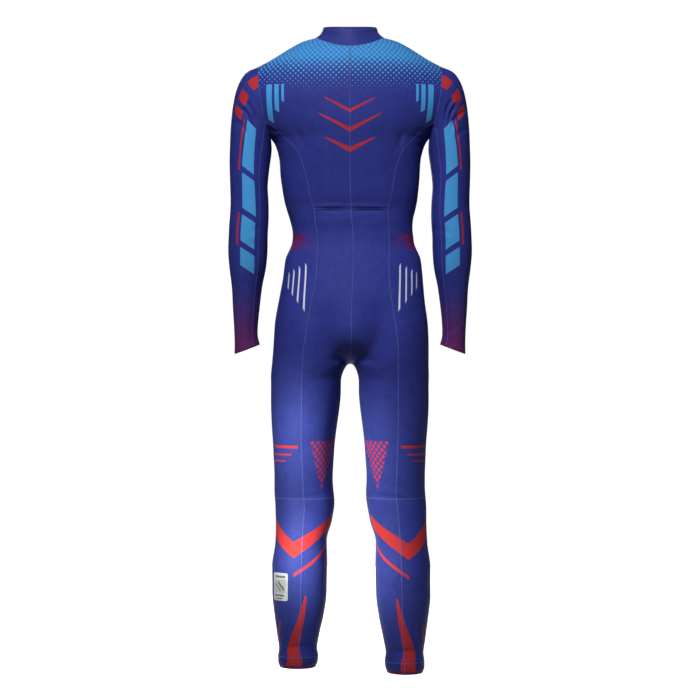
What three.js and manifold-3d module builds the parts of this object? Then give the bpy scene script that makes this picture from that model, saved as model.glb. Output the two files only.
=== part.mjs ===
// A one-piece alpine ski race suit, kept in the hollow shape that it takes on a standing figure.
// Every panel is a thin cloth wall, cut along the seams of a real suit and parted from its neighbours by
// a hair. Millimetres, +Z up. The front of the suit faces -Y and the wearer's left is +X. The origin is the
// centre of the neck, level with the inner ends of the shoulder seams, where the suit hangs on its wearer.
import * as THREE from "three";
import Module from "manifold-3d";

const wasm = await Module();
wasm.setup();

// Cloth and seams
const CLOTH = 1.6; // wall of the laminated stretch cloth
const COLLAR_CLOTH = 2.4; // the collar is folded double
const TAPE = 1.4; // woven tape and coil of the front zip
const PARTING = 0.4; // gap between two panels along their seam
const LABEL_THICKNESS = 1;
const LABEL_LIFT = 0.35; // gap between the label and the calf under it

// Heights of the cross seams and of the open ends
const LUMBAR_SEAM_Z = -385;
const ZIP_END_Z = -640;
const HIP_Z = -520;
const SEAT_Z = -650;
const CROTCH_Z = -726;
const INSEAM_ARCH = 30; // height of the rounded arch between the legs
const ARCH_ANGLE = 0.5; // how far from the inseam the arch is felt, as an angle
const CENTRE_ANGLE = 0.9; // how far from the centre line the pull towards the crotch is felt, as an angle
const KNEE_SEAM_Z = -1024;
const HEM_SEAM_Z = -1376;
const HEM_Z = -1401;
const RIGHT_LEG_EXTRA = 13; // the right leg stands a little lower than the left
const ZIP_HALF_WIDTH = 8;

// Armhole: an upright oval, leaning in towards the underarm
const ARMHOLE = { z: -146, halfHeight: 80, topX: 203, bottomX: 176, y: 2, backDepth: 68, frontDepth: 60 };
const ARMHOLE_STEP = THREE.MathUtils.degToRad(18);
const ARMHOLE_STEPS = 10; // from the shoulder point down to the underarm
const SIDE_PANEL_STEP = 7; // where the long side seams run into the armhole

// Panels round one half of the suit, in columns
const FRONT_COLUMNS = 5;
const SIDE_COLUMNS = 8;
const BACK_COLUMNS = 5;
const LOWER_ZIP_SHARE = 0.2; // place of the first front column below the zip

// Collar rings, from the folded top edge down to the neck seam
const COLLAR = [
  { rise: 1, side: 60, front: -62, back: 50, sideY: -6, zSide: 22, zFront: 2, zBack: 17, square: 2.1 },
  { rise: 0.7, side: 62, front: -62.5, back: 52.5, sideY: -6, zSide: 15, zFront: -16, zBack: 4, square: 2.1 },
  { rise: 0.35, side: 67, front: -64, back: 57, sideY: -5, zSide: 7, zFront: -35, zBack: -12, square: 2.1 },
  { rise: 0, side: 77, front: -66, back: 63, sideY: -4, zSide: -1, zFront: -52, zBack: -27, square: 2.1 },
];

// Yoke rings, from the neck seam out to the shoulder points
const YOKE = [
  { rise: 1, side: 77, front: -66, back: 63, sideY: -4, zSide: -1, zFront: -52, zBack: -27, square: 2.1 },
  { rise: 0.8, side: 103, front: -70, back: 69, sideY: -3, zSide: -8.5, zFront: -55, zBack: -34.5, square: 2.1 },
  { rise: 0.6, side: 128.5, front: -73, back: 75, sideY: -1, zSide: -21, zFront: -58, zBack: -42, square: 2.05 },
  { rise: 0.4, side: 153, front: -75, back: 81, sideY: 0, zSide: -36, zFront: -61, zBack: -50, square: 2 },
  { rise: 0.2, side: 178, front: -77, back: 86, sideY: 1, zSide: -52, zFront: -64, zBack: -58, square: 2 },
  { rise: 0, side: 203, front: -78, back: 90, sideY: 2, zSide: -66, zFront: -66, zBack: -66, square: 2 },
];

// Centre front and centre back beside the armholes
const CHEST = [
  { z: -66, front: -78, back: 90 },
  { z: -100, front: -96, back: 100 },
  { z: -146, front: -112, back: 108 },
  { z: -190, front: -121, back: 110 },
  { z: -226, front: -124, back: 106 },
];

// Level sections from the underarm to the crotch
const TORSO = [
  { z: -226, side: 176, front: -124, back: 106, sideY: 2, square: 2 },
  { z: -236, side: 169, front: -124, back: 104, sideY: 1, square: 2.1 },
  { z: -250, side: 163, front: -123, back: 102, sideY: 0, square: 2.2 },
  { z: -275, side: 157, front: -121, back: 98, sideY: -2, square: 2.3 },
  { z: -320, side: 154, front: -115, back: 90, sideY: -5, square: 2.3 },
  { z: -360, side: 149, front: -110, back: 82.5, sideY: -7, square: 2.3 },
  { z: -385, side: 143, front: -107, back: 75.5, sideY: -8.5, square: 2.3 },
  { z: -404, side: 137.5, front: -105, back: 76, sideY: -9, square: 2.3 },
  { z: -430, side: 134, front: -104, back: 73.5, sideY: -9, square: 2.3 },
  { z: -455, side: 136, front: -104, back: 76, sideY: -8, square: 2.3 },
  { z: -495, side: 151, front: -106, back: 87, sideY: -4, square: 2.3 },
  { z: -540, side: 156, front: -107, back: 101, sideY: 0, square: 2.3 },
  { z: -600, side: 161, front: -104, back: 118, sideY: 2, square: 2.3 },
  { z: -650, side: 169, front: -98, back: 124, sideY: 4, square: 2.3 },
  { z: -690, side: 173, front: -94, back: 121, sideY: 4, square: 2.3 },
  { z: -726, side: 174, front: -92, back: 113, sideY: 4, square: 2.3 },
];

// Level sections of one leg, from the seat, where it is still part of the hips, to the ankle hem
const LEG = [
  { z: -650, inner: 0, outer: 172, front: -97, back: 119 },
  { z: -726, inner: 0, outer: 174, front: -94, back: 108 },
  { z: -756, inner: 18, outer: 176, front: -94, back: 99 },
  { z: -800, inner: 21, outer: 176, front: -93, back: 92 },
  { z: -860, inner: 28, outer: 174, front: -89, back: 85 },
  { z: -920, inner: 35, outer: 170, front: -81, back: 76 },
  { z: -980, inner: 38, outer: 168, front: -74, back: 67 },
  { z: -1024, inner: 36, outer: 168, front: -69, back: 63 },
  { z: -1075, inner: 43, outer: 168, front: -59, back: 67 },
  { z: -1120, inner: 55, outer: 169, front: -53, back: 74 },
  { z: -1180, inner: 54, outer: 176, front: -49, back: 77 },
  { z: -1230, inner: 55, outer: 176, front: -47, back: 72 },
  { z: -1284, inner: 62, outer: 171, front: -46, back: 60 },
  { z: -1330, inner: 72, outer: 165, front: -45, back: 50 },
  { z: -1360, inner: 77, outer: 161, front: -44, back: 45 },
  { z: -1376, inner: 74.5, outer: 163, front: -46, back: 47 },
  { z: -1389, inner: 75.5, outer: 163, front: -46, back: 46 },
  { z: -1401, inner: 80, outer: 159, front: -42, back: 42 },
];

// The suit leans a little to the right at the waist and below the knees.
const SWAY = [
  { z: -300, x: 0 },
  { z: -400, x: -3 },
  { z: -450, x: -7 },
  { z: -520, x: -6.5 },
  { z: -600, x: -3.5 },
  { z: -680, x: -2.5 },
  { z: -760, x: 0 },
  { z: -1000, x: 1 },
  { z: -1050, x: -2 },
  { z: -1150, x: -3 },
];

// How far the long seams of the side panel run from the centre line
const SIDE_SEAMS = [
  { z: -193, back: 186, front: 186 },
  { z: -208, back: 165, front: 168 },
  { z: -226, back: 146, front: 152 },
  { z: -244, back: 127, front: 138 },
  { z: -257, back: 117, front: 128 },
  { z: -288, back: 104, front: 116 },
  { z: -325, back: 95, front: 106 },
  { z: -363, back: 88, front: 98 },
  { z: -387, back: 82, front: 92 },
  { z: -466, back: 79, front: 88 },
  { z: -541, back: 80, front: 88 },
  { z: -578, back: 86, front: 92 },
  { z: -615, back: 92, front: 96 },
  { z: -653, back: 98, front: 100 },
  { z: -697, back: 103, front: 104 },
  { z: -804, back: 106, front: 106 },
  { z: -891, back: 106, front: 106 },
  { z: -956, back: 104, front: 105 },
  { z: -1024, back: 102, front: 105 },
  { z: -1120, back: 108, front: 110 },
  { z: -1284, back: 113, front: 114 },
  { z: -1401, back: 118, front: 119 },
];

// Sleeve stations: where each section meets the inside and the outside of the arm, seen from the front
const SLEEVE = [
  { station: 1, innerX: 175, innerZ: -231, outerX: 228, outerZ: -77, y: 3, back: 66, front: 60 },
  { station: 2, innerX: 174.5, innerZ: -238, outerX: 243, outerZ: -95, y: 4, back: 63, front: 59 },
  { station: 3, innerX: 174, innerZ: -248, outerX: 254, outerZ: -121, y: 5, back: 60, front: 58 },
  { station: 4, innerX: 175, innerZ: -262, outerX: 260.5, outerZ: -152, y: 6, back: 57, front: 57 },
  { station: 5, innerX: 178, innerZ: -281, outerX: 264, outerZ: -188, y: 7, back: 55, front: 55 },
  { station: 6, innerX: 181, innerZ: -304, outerX: 266.5, outerZ: -229, y: 8, back: 53, front: 53 },
  { station: 7, innerX: 183, innerZ: -332, outerX: 268, outerZ: -274, y: 8, back: 51, front: 51 },
  { station: 8, innerX: 181, innerZ: -366, outerX: 267, outerZ: -324, y: 7, back: 49, front: 49 },
  { station: 9, innerX: 181, innerZ: -402, outerX: 266, outerZ: -375, y: 5, back: 48, front: 48 },
  { station: 10, innerX: 183, innerZ: -440, outerX: 270, outerZ: -427, y: 2, back: 47, front: 47 },
  { station: 11, innerX: 184, innerZ: -476, outerX: 272, outerZ: -472, y: -3, back: 46, front: 46 },
  { station: 12, innerX: 188, innerZ: -514, outerX: 269, outerZ: -514, y: -10, back: 44, front: 44 },
  { station: 13, innerX: 196, innerZ: -553, outerX: 265, outerZ: -556, y: -19, back: 40, front: 40 },
  { station: 14, innerX: 202, innerZ: -592, outerX: 263, outerZ: -597, y: -28, back: 36, front: 36 },
  { station: 15, innerX: 206, innerZ: -629, outerX: 261, outerZ: -638, y: -36, back: 32.5, front: 32.5 },
  { station: 16, innerX: 207.5, innerZ: -662, outerX: 259.5, outerZ: -678, y: -42, back: 30.5, front: 30.5 },
  { station: 17, innerX: 203, innerZ: -684, outerX: 260, outerZ: -705, y: -46, back: 32, front: 32 },
];

// Value and slope of a table column between two rows, without overshoot
const slopeBetween = (a, b, key, column) => (b[column] - a[column]) / (b[key] - a[key]);

function slopeAt(table, i, key, column) {
  const last = table.length - 1;
  if (i === 0) return slopeBetween(table[0], table[1], key, column);
  if (i === last) return slopeBetween(table[last - 1], table[last], key, column);
  const before = slopeBetween(table[i - 1], table[i], key, column);
  const after = slopeBetween(table[i], table[i + 1], key, column);
  return before * after <= 0 ? 0 : (2 * before * after) / (before + after);
}

function readTable(table, key, value) {
  const falling = table[0][key] > table[table.length - 1][key];
  let i = 0;
  while (i < table.length - 2 && (falling ? value < table[i + 1][key] : value > table[i + 1][key])) i++;
  const [a, b] = [table[i], table[i + 1]];
  const span = b[key] - a[key];
  const s = THREE.MathUtils.clamp((value - a[key]) / span, 0, 1);
  const row = {};
  for (const column of Object.keys(a)) {
    const leave = slopeAt(table, i, key, column) * span;
    const arrive = slopeAt(table, i + 1, key, column) * span;
    const h = s * s * (3 - 2 * s);
    row[column] = a[column] * (1 - h) + b[column] * h + leave * s * (1 - s) ** 2 - arrive * s * s * (1 - s);
  }
  return row;
}

// Rings. A ring is one level of half the suit, from the centre front round the side to the centre back.
const noLeg = { centreShare: 0, sideShare: 0 };
const levelRing = (z, shape) => ({ ...shape, ...noLeg, z, zSide: z, zFront: z, zBack: z });

function armholePoint(angle) {
  const fall = (1 - Math.cos(angle)) / 2;
  const depth = Math.sin(angle) > 0 ? ARMHOLE.backDepth : ARMHOLE.frontDepth;
  return new THREE.Vector3(
    ARMHOLE.topX + (ARMHOLE.bottomX - ARMHOLE.topX) * fall * fall,
    ARMHOLE.y + depth * Math.sin(angle),
    ARMHOLE.z + ARMHOLE.halfHeight * Math.cos(angle),
  );
}

// Beside the armhole each quarter of the ring is part of an oval that runs out through the armhole's edge.
function armholeRing(step) {
  const angle = step * ARMHOLE_STEP;
  const edge = armholePoint(angle);
  const chest = readTable(CHEST, "z", edge.z);
  const square = 2;
  const reach = (depth, centre) => {
    const share = (depth * Math.sin(angle)) / Math.abs(centre - ARMHOLE.y);
    return edge.x / (1 - share ** square) ** (1 / square);
  };
  return {
    ...levelRing(edge.z, { ...chest, sideY: ARMHOLE.y, square }),
    backSide: reach(ARMHOLE.backDepth, chest.back),
    frontSide: reach(ARMHOLE.frontDepth, chest.front),
    armholeX: edge.x,
    step,
  };
}

// Above the crotch the ring turns into a leg: slowly at the side, and at the centre only below the seat.
function lowerRing(z) {
  const drop = THREE.MathUtils.clamp((SEAT_Z - z) / (SEAT_Z - CROTCH_Z), 0, 1);
  const ring = levelRing(z, readTable(TORSO, "z", z));
  const leg = readTable(LEG, "z", z);
  const arch = THREE.MathUtils.clamp((CROTCH_Z - z) / INSEAM_ARCH, 0, 1);
  leg.archInner = arch < 1 ? readTable(LEG, "z", CROTCH_Z - INSEAM_ARCH).inner * Math.sqrt(arch) : leg.inner;
  return {
    ...ring,
    leg,
    centreShare: 1 - Math.sqrt(1 - drop * drop),
    sideShare: THREE.MathUtils.smoothstep(-z, -HIP_Z, -CROTCH_Z),
  };
}

// A point of the ring, by its angle from the centre line (0) to the side (a quarter turn).
function ringPoint(ring, quarter, angle) {
  const front = quarter === "front";
  const power = 2 / ring.square;
  const side = (front ? ring.frontSide : ring.backSide) ?? ring.side;
  const centreY = front ? ring.front : ring.back;
  const centreZ = front ? ring.zFront : ring.zBack;
  const across = Math.max(Math.sin(angle), 0) ** power;
  const along = Math.max(Math.cos(angle), 0) ** power;
  const point = new THREE.Vector3(
    side * across,
    ring.sideY + (centreY - ring.sideY) * along,
    ring.zSide + (centreZ - ring.zSide) * Math.cos(angle) ** 2,
  );
  const toSide = THREE.MathUtils.smoothstep(angle, 0, CENTRE_ANGLE);
  const legShare = THREE.MathUtils.lerp(ring.centreShare, ring.sideShare, toSide);
  if (legShare > 0) {
    const { archInner, outer, front: legFront, back: legBack } = ring.leg;
    const inner = THREE.MathUtils.lerp(archInner, ring.leg.inner, THREE.MathUtils.smoothstep(angle, 0, ARCH_ANGLE));
    const middleY = (legFront + legBack) / 2;
    const depth = (legBack - legFront) / 2;
    const legPoint = new THREE.Vector3(
      (inner + outer) / 2 - ((outer - inner) / 2) * Math.cos(2 * angle),
      middleY + (front ? -depth : depth) * Math.sin(2 * angle),
      ring.z,
    );
    point.lerp(legPoint, legShare);
  }
  return point;
}

const HALVINGS = 40;
function angleAt(ring, quarter, x) {
  let [low, high] = [0, Math.PI / 2];
  for (let i = 0; i < HALVINGS; i++) {
    const middle = (low + high) / 2;
    if (ringPoint(ring, quarter, middle).x < x) low = middle;
    else high = middle;
  }
  return (low + high) / 2;
}

const spread = (from, to, steps) =>
  Array.from({ length: steps + 1 }, (_, i) => from + ((to - from) * i) / steps);

// The outer edge of the front or back panel: shoulder seam, then armhole, then long side seam.
function panelEdgeAngle(ring, quarter) {
  if (ring.rise !== undefined) return Math.PI / 2;
  if (ring.step !== undefined && ring.step <= SIDE_PANEL_STEP) return angleAt(ring, quarter, ring.armholeX);
  return angleAt(ring, quarter, readTable(SIDE_SEAMS, "z", ring.z)[quarter]);
}

function frontColumnAngles(ring) {
  const edge = panelEdgeAngle(ring, "front");
  const zip = angleAt(ring, "front", ZIP_HALF_WIDTH) / edge;
  const below = THREE.MathUtils.clamp((SEAT_Z - ring.z) / (SEAT_Z - CROTCH_Z), 0, 1);
  const first = ring.rise !== undefined ? zip : THREE.MathUtils.lerp(zip, LOWER_ZIP_SHARE, below);
  const start = ring.z <= CROTCH_Z ? LOWER_ZIP_SHARE : first;
  return [0, ...spread(start * edge, edge, FRONT_COLUMNS - 1)];
}

// One row of each block of columns
const frontRow = (ring) => frontColumnAngles(ring).map((angle) => ringPoint(ring, "front", angle));

function backRow(ring) {
  const edge = panelEdgeAngle(ring, "back");
  return spread(edge, 0, BACK_COLUMNS).map((angle) => ringPoint(ring, "back", angle));
}

function sideRow(ring) {
  const half = SIDE_COLUMNS / 2;
  const front = spread(panelEdgeAngle(ring, "front"), Math.PI / 2, half);
  const back = spread(Math.PI / 2, panelEdgeAngle(ring, "back"), half);
  return [
    ...front.map((angle) => ringPoint(ring, "front", angle)),
    ...back.slice(1).map((angle) => ringPoint(ring, "back", angle)),
  ];
}

// The side panel's top runs up into the armhole in two horns.
function hornRow(ring, quarter) {
  const seam = panelEdgeAngle(ring, quarter);
  const armhole = angleAt(ring, quarter, ring.armholeX);
  const [from, to] = quarter === "front" ? [seam, armhole] : [armhole, seam];
  return spread(from, to, SIDE_COLUMNS / 2).map((angle) => ringPoint(ring, quarter, angle));
}

// Levels of the rings below the underarm
const TORSO_LEVELS = [-240, -257, -280, -306, -333, -360, LUMBAR_SEAM_Z];
const HIP_LEVELS = [-410, -434, -458, -482, -508, -536, -565, -600, ZIP_END_Z, SEAT_Z];
const CROTCH_LEVELS = spread(0, Math.PI / 2, 6)
  .slice(1)
  .map((turn) => SEAT_Z + (CROTCH_Z - SEAT_Z) * Math.sin(turn));
const ARCH_LEVELS = spread(0, 1, 4)
  .slice(1)
  .map((share) => CROTCH_Z - INSEAM_ARCH * share * share);
const THIGH_LEVELS = [-782, -815, -855, -900, -945, -985, -1010, KNEE_SEAM_Z];
const LABEL_TOP_Z = -1186;
const LABEL_MIDDLE_Z = -1217;
const LABEL_BOTTOM_Z = -1248;
const CALF_LEVELS = [-1045, -1072, -1100, -1130, -1160, LABEL_TOP_Z, LABEL_MIDDLE_Z, LABEL_BOTTOM_Z, -1290, -1325];
const ANKLE_LEVELS = [-1346, -1360, HEM_SEAM_Z];
const HEM_LEVELS = [-1389, HEM_Z];

const collarRings = COLLAR.map((shape) => ({ ...shape, ...noLeg }));
const yokeRings = YOKE.map((shape) => ({ ...shape, ...noLeg }));
const armholeRings = spread(0, ARMHOLE_STEPS, ARMHOLE_STEPS).map(armholeRing);
const lowerRings = [
  ...TORSO_LEVELS, ...HIP_LEVELS, ...CROTCH_LEVELS, ...ARCH_LEVELS, ...THIGH_LEVELS,
  ...CALF_LEVELS, ...ANKLE_LEVELS, ...HEM_LEVELS,
].map(lowerRing);
// The yoke's last ring and the armhole's first are one ring.
const bodyRings = [...yokeRings.slice(0, -1), ...armholeRings, ...lowerRings];
const underarmRow = bodyRings.indexOf(armholeRings[ARMHOLE_STEPS]);
const rowAt = (z) => bodyRings.findIndex((ring) => ring.z === z);

// The right half is a mirror image, except that the right leg is drawn out to its own length below the knee.
function onSide(point, side, sway) {
  const share = THREE.MathUtils.clamp((KNEE_SEAM_Z - point.z) / (KNEE_SEAM_Z - HEM_Z), 0, 1);
  const drop = side < 0 ? RIGHT_LEG_EXTRA * share : 0;
  const lean = sway ? readTable(SWAY, "z", point.z).x : 0;
  return new THREE.Vector3(point.x * side + lean, point.y, point.z - drop);
}

// A patch is a grid of points whose rows run down and whose columns run round from the front to the back.
const makePatch = (rows, side, sway = true) => ({
  points: rows.map((row) => row.map((point) => onSide(point, side, sway))),
  flip: side < 0,
});
const pointKey = (p) => p.toArray().map((value) => Math.round(value * 1000)).join(" ");

function patchTriangles({ points, flip }) {
  const triangles = [];
  for (let i = 0; i + 1 < points.length; i++) {
    for (let j = 0; j + 1 < points[i].length; j++) {
      const corners = [[i, j], [i + 1, j], [i + 1, j + 1], [i, j + 1]];
      for (const [a, b, c] of [[0, 1, 2], [0, 2, 3]]) {
        triangles.push(flip ? [corners[a], corners[c], corners[b]] : [corners[a], corners[b], corners[c]]);
      }
    }
  }
  return triangles;
}

// Gives every point of the patches the outward direction of the cloth there, shared by panels that meet.
function addNormals(patches) {
  const sums = new Map();
  for (const patch of patches) {
    for (const triangle of patchTriangles(patch)) {
      const [a, b, c] = triangle.map(([i, j]) => patch.points[i][j]);
      const normal = b.clone().sub(a).cross(c.clone().sub(a));
      for (const p of [a, b, c]) {
        const key = pointKey(p);
        if (!sums.has(key)) sums.set(key, new THREE.Vector3());
        sums.get(key).add(normal);
      }
    }
  }
  for (const patch of patches) {
    patch.normals = patch.points.map((row) => row.map((p) => sums.get(pointKey(p)).clone().normalize()));
  }
}

const cutPatch = ({ points, normals, flip }, [top, bottom], [left, right]) => ({
  points: points.slice(top, bottom + 1).map((row) => row.slice(left, right + 1)),
  normals: normals.slice(top, bottom + 1).map((row) => row.slice(left, right + 1)),
  flip,
});

// Draws the first and last columns of a patch in towards their neighbours by shares of the column's width.
function narrowPatch({ points, normals, flip }, firstShare, lastShare) {
  const drawIn = (row) => [
    row[0].clone().lerp(row[1], firstShare),
    ...row.slice(1, -1),
    row[row.length - 1].clone().lerp(row[row.length - 2], lastShare),
  ];
  return { points: points.map(drawIn), normals: normals.map(drawIn), flip };
}

// Moves each point on the panel's edge in by half the parting, square to the edges that meet there.
function drawInEdges(points, normals, edges) {
  const inward = new Map();
  for (const [from, to] of edges) {
    const run = points[to].clone().sub(points[from]).normalize();
    for (const corner of [from, to]) {
      if (!inward.has(corner)) inward.set(corner, []);
      inward.get(corner).push(normals[corner].clone().cross(run).normalize());
    }
  }
  const sharpest = 6;
  const flattest = 0.05; // keeps the mitre finite where an edge folds back on itself
  for (const [corner, [first, second]] of inward) {
    const mitre = first.clone().add(second).divideScalar(Math.max(1 + first.dot(second), flattest));
    mitre.clampLength(0, sharpest).multiplyScalar(PARTING / 2);
    points[corner] = points[corner].clone().add(mitre);
  }
}

// Thickens patches that share edges into one closed wall. Lift moves the whole wall out from the surface.
function clothWall(patches, thickness, lift = 0) {
  const points = [];
  const normals = [];
  const known = new Map();
  const triangles = [];
  for (const patch of patches) {
    const indexOf = ([i, j]) => {
      const key = pointKey(patch.points[i][j]);
      if (!known.has(key)) {
        known.set(key, points.length);
        points.push(patch.points[i][j]);
        normals.push(patch.normals[i][j]);
      }
      return known.get(key);
    };
    for (const triangle of patchTriangles(patch)) {
      const [a, b, c] = triangle.map(indexOf);
      if (a !== b && b !== c && c !== a) triangles.push([a, b, c]);
    }
  }
  const directed = new Set(triangles.flatMap(([a, b, c]) => [`${a} ${b}`, `${b} ${c}`, `${c} ${a}`]));
  const edges = [...directed]
    .map((edge) => edge.split(" ").map(Number))
    .filter(([from, to]) => !directed.has(`${to} ${from}`));
  drawInEdges(points, normals, edges);
  const count = points.length;
  const outer = points.map((p, i) => p.clone().addScaledVector(normals[i], lift));
  const inner = points.map((p, i) => p.clone().addScaledVector(normals[i], lift - thickness));
  const faces = [
    ...triangles.flat(),
    ...triangles.flatMap(([a, b, c]) => [a + count, c + count, b + count]),
    ...edges.flatMap(([from, to]) => [to, from, from + count, to, from + count, to + count]),
  ];
  const geometry = new THREE.BufferGeometry().setFromPoints([...outer, ...inner]);
  geometry.setIndex(faces);
  geometry.computeVertexNormals();
  return geometry;
}

// Surfaces of the whole suit
const sides = { left: 1, right: -1 };
const body = {};
for (const [name, side] of Object.entries(sides)) {
  const horns = armholeRings.slice(SIDE_PANEL_STEP);
  body[name] = {
    front: makePatch(bodyRings.map(frontRow), side),
    back: makePatch(bodyRings.map(backRow), side),
    side: makePatch(bodyRings.slice(underarmRow).map(sideRow), side),
    frontHorn: makePatch(horns.map((ring) => hornRow(ring, "front")), side),
    backHorn: makePatch(horns.map((ring) => hornRow(ring, "back")), side),
    collarFront: makePatch(collarRings.map(frontRow), side),
    collarBack: makePatch(collarRings.map(backRow), side),
  };
}
addNormals(Object.values(body).flatMap((half) => Object.values(half)));

function sleeveRing(station, angle) {
  if (!station) return armholePoint(angle);
  const { innerX, innerZ, outerX, outerZ, y, back, front } = station;
  const reach = (1 + Math.cos(angle)) / 2;
  const depth = Math.sin(angle) > 0 ? back : front;
  return new THREE.Vector3(
    THREE.MathUtils.lerp(innerX, outerX, reach),
    y + depth * Math.sin(angle),
    THREE.MathUtils.lerp(innerZ, outerZ, reach),
  );
}

const sleeveStations = [null, ...SLEEVE];
function sleevePatch(fromStep, toStep, side) {
  const steps = spread(fromStep, toStep, toStep - fromStep);
  return makePatch(
    sleeveStations.map((station) => steps.map((step) => sleeveRing(station, step * ARMHOLE_STEP))),
    side,
    false,
  );
}
for (const [name, side] of Object.entries(sides)) {
  body[name].sleeveTop = sleevePatch(-SIDE_PANEL_STEP, SIDE_PANEL_STEP, side);
  body[name].sleeveUnder = sleevePatch(SIDE_PANEL_STEP, 2 * ARMHOLE_STEPS - SIDE_PANEL_STEP, side);
  addNormals([body[name].sleeveTop, body[name].sleeveUnder]);
}

// Materials
const royal = { color: 0x2f338a, roughness: 0.6, metalness: 0 };
const suitCloth = new THREE.MeshStandardMaterial({ name: "suit cloth", ...royal });
const sleeveCloth = new THREE.MeshStandardMaterial({ name: "sleeve cloth", ...royal });
const calfCloth = new THREE.MeshStandardMaterial({ name: "calf cloth", ...royal });
const hemBand = new THREE.MeshStandardMaterial({ name: "hem band", color: 0x23276f, roughness: 0.7 });
const zipTape = new THREE.MeshStandardMaterial({ name: "zip tape", color: 0x14163c, roughness: 0.8 });
const zipMetal = new THREE.MeshStandardMaterial({ name: "zip metal", color: 0x9a9ca0, roughness: 0.35, metalness: 1 });
const labelFilm = new THREE.MeshStandardMaterial({ name: "label film", color: 0xc4c6c2, roughness: 0.45 });

const suit = new THREE.Group();
suit.name = "ski_race_suit";

function addPiece(name, geometry, material) {
  const mesh = new THREE.Mesh(geometry, material);
  mesh.name = name;
  suit.add(mesh);
  return mesh;
}

// Body panels
const neck = 0;
const lumbar = rowAt(LUMBAR_SEAM_Z);
const zipEnd = rowAt(ZIP_END_Z);
const knee = rowAt(KNEE_SEAM_Z);
const hemSeam = rowAt(HEM_SEAM_Z);
const hem = rowAt(HEM_Z);
const below = (row) => row - underarmRow; // the side patch starts at the underarm
const wholeFront = [0, FRONT_COLUMNS];
const wholeSide = [0, SIDE_COLUMNS];
const wholeBack = [0, BACK_COLUMNS];

for (const [name, half] of Object.entries(body)) {
  const cutAround = (top, bottom) => [
    cutPatch(half.back, [top, bottom], wholeBack),
    cutPatch(half.front, [top, bottom], wholeFront),
  ];
  const besideZip = cutPatch(half.front, [neck, zipEnd], [1, FRONT_COLUMNS]);
  const belowZip = cutPatch(half.front, [zipEnd, knee], wholeFront);
  addPiece(`front_${name}`, clothWall([besideZip, belowZip], CLOTH), suitCloth);
  const sidePanel = [cutPatch(half.side, [0, below(knee)], wholeSide), half.frontHorn, half.backHorn];
  addPiece(`side_${name}`, clothWall(sidePanel, CLOTH), suitCloth);
  addPiece(`back_upper_${name}`, clothWall([cutPatch(half.back, [neck, lumbar], wholeBack)], CLOTH), suitCloth);
  addPiece(`back_lower_${name}`, clothWall([cutPatch(half.back, [lumbar, knee], wholeBack)], CLOTH), suitCloth);
  const calfOuter = cutPatch(half.side, [below(knee), below(hemSeam)], wholeSide);
  addPiece(`calf_outer_${name}`, clothWall([calfOuter], CLOTH), calfCloth);
  addPiece(`calf_inner_${name}`, clothWall(cutAround(knee, hemSeam), CLOTH), calfCloth);
  const hemRing = [...cutAround(hemSeam, hem), cutPatch(half.side, [below(hemSeam), below(hem)], wholeSide)];
  addPiece(`leg_hem_${name}`, clothWall(hemRing, CLOTH), hemBand);
  addPiece(`sleeve_top_${name}`, clothWall([half.sleeveTop], CLOTH), sleeveCloth);
  addPiece(`sleeve_under_${name}`, clothWall([half.sleeveUnder], CLOTH), sleeveCloth);
}

// Collar, front zip and the label on the left calf
const collarRows = [0, COLLAR.length - 1];
const collarPatches = Object.values(body).flatMap((half) => [
  cutPatch(half.collarFront, collarRows, [1, FRONT_COLUMNS]),
  cutPatch(half.collarBack, collarRows, wholeBack),
]);
addPiece("collar", clothWall(collarPatches, COLLAR_CLOTH), suitCloth);
const zipPatches = Object.values(body).flatMap((half) => [
  cutPatch(half.collarFront, collarRows, [0, 1]),
  cutPatch(half.front, [neck, zipEnd], [0, 1]),
]);
addPiece("zip_tape", clothWall(zipPatches, TAPE), zipTape);

const labelRows = [below(rowAt(LABEL_TOP_Z)), below(rowAt(LABEL_BOTTOM_Z))];
const labelColumns = [SIDE_COLUMNS / 2 + 1, SIDE_COLUMNS / 2 + 3];
const labelInset = { outer: 0.08, inner: 0.16 }; // shares of the columns that the label leaves bare at its sides
const labelPatch = narrowPatch(cutPatch(body.left.side, labelRows, labelColumns), labelInset.outer, labelInset.inner);
addPiece("calf_label", clothWall([labelPatch], LABEL_THICKNESS, LABEL_LIFT + LABEL_THICKNESS), labelFilm);

// Zip slider and its pull tab, standing on the zip just under the collar's top edge.
// Outlines are drawn from the front, across and up, and then stand out from the zip.
const SLIDER = { z: -9, backY: -62.9, width: 9, length: 12, plate: 2.2, corner: 2.5 };
const BRIDGE = { halfWidth: 1.1, halfLength: 3.6, windowHalfLength: 2, windowHeight: 2.7, top: 1.4, chamfer: 1 };
const TAB = { width: 7.5, length: 30, thickness: 1.4, eyeWidth: 3.4, eyeLength: 5.2, corner: 2.2, clearance: 0.4 };
const barRadius = TAB.thickness / 2;
const hinge = new THREE.Vector3(
  0,
  SLIDER.backY - SLIDER.plate - BRIDGE.windowHeight / 2,
  SLIDER.z - BRIDGE.windowHalfLength + barRadius + TAB.clearance,
);

function roundedOutline(width, bottom, top, radius) {
  const [w, r] = [width / 2, radius];
  const outline = new THREE.Shape();
  outline.absarc(w - r, top - r, r, 0, Math.PI / 2);
  outline.absarc(-w + r, top - r, r, Math.PI / 2, Math.PI);
  outline.absarc(-w + r, bottom + r, r, Math.PI, 1.5 * Math.PI);
  outline.absarc(w - r, bottom + r, r, 1.5 * Math.PI, 2 * Math.PI);
  return outline;
}

// Stands an outline drawn across and up on the plane y = backY, with its thickness towards the front.
function standOut(outline, thickness, backY) {
  const geometry = new THREE.ExtrudeGeometry(outline, { depth: thickness, bevelEnabled: false, curveSegments: 4 });
  return geometry.rotateX(Math.PI / 2).translate(0, backY, 0);
}

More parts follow.
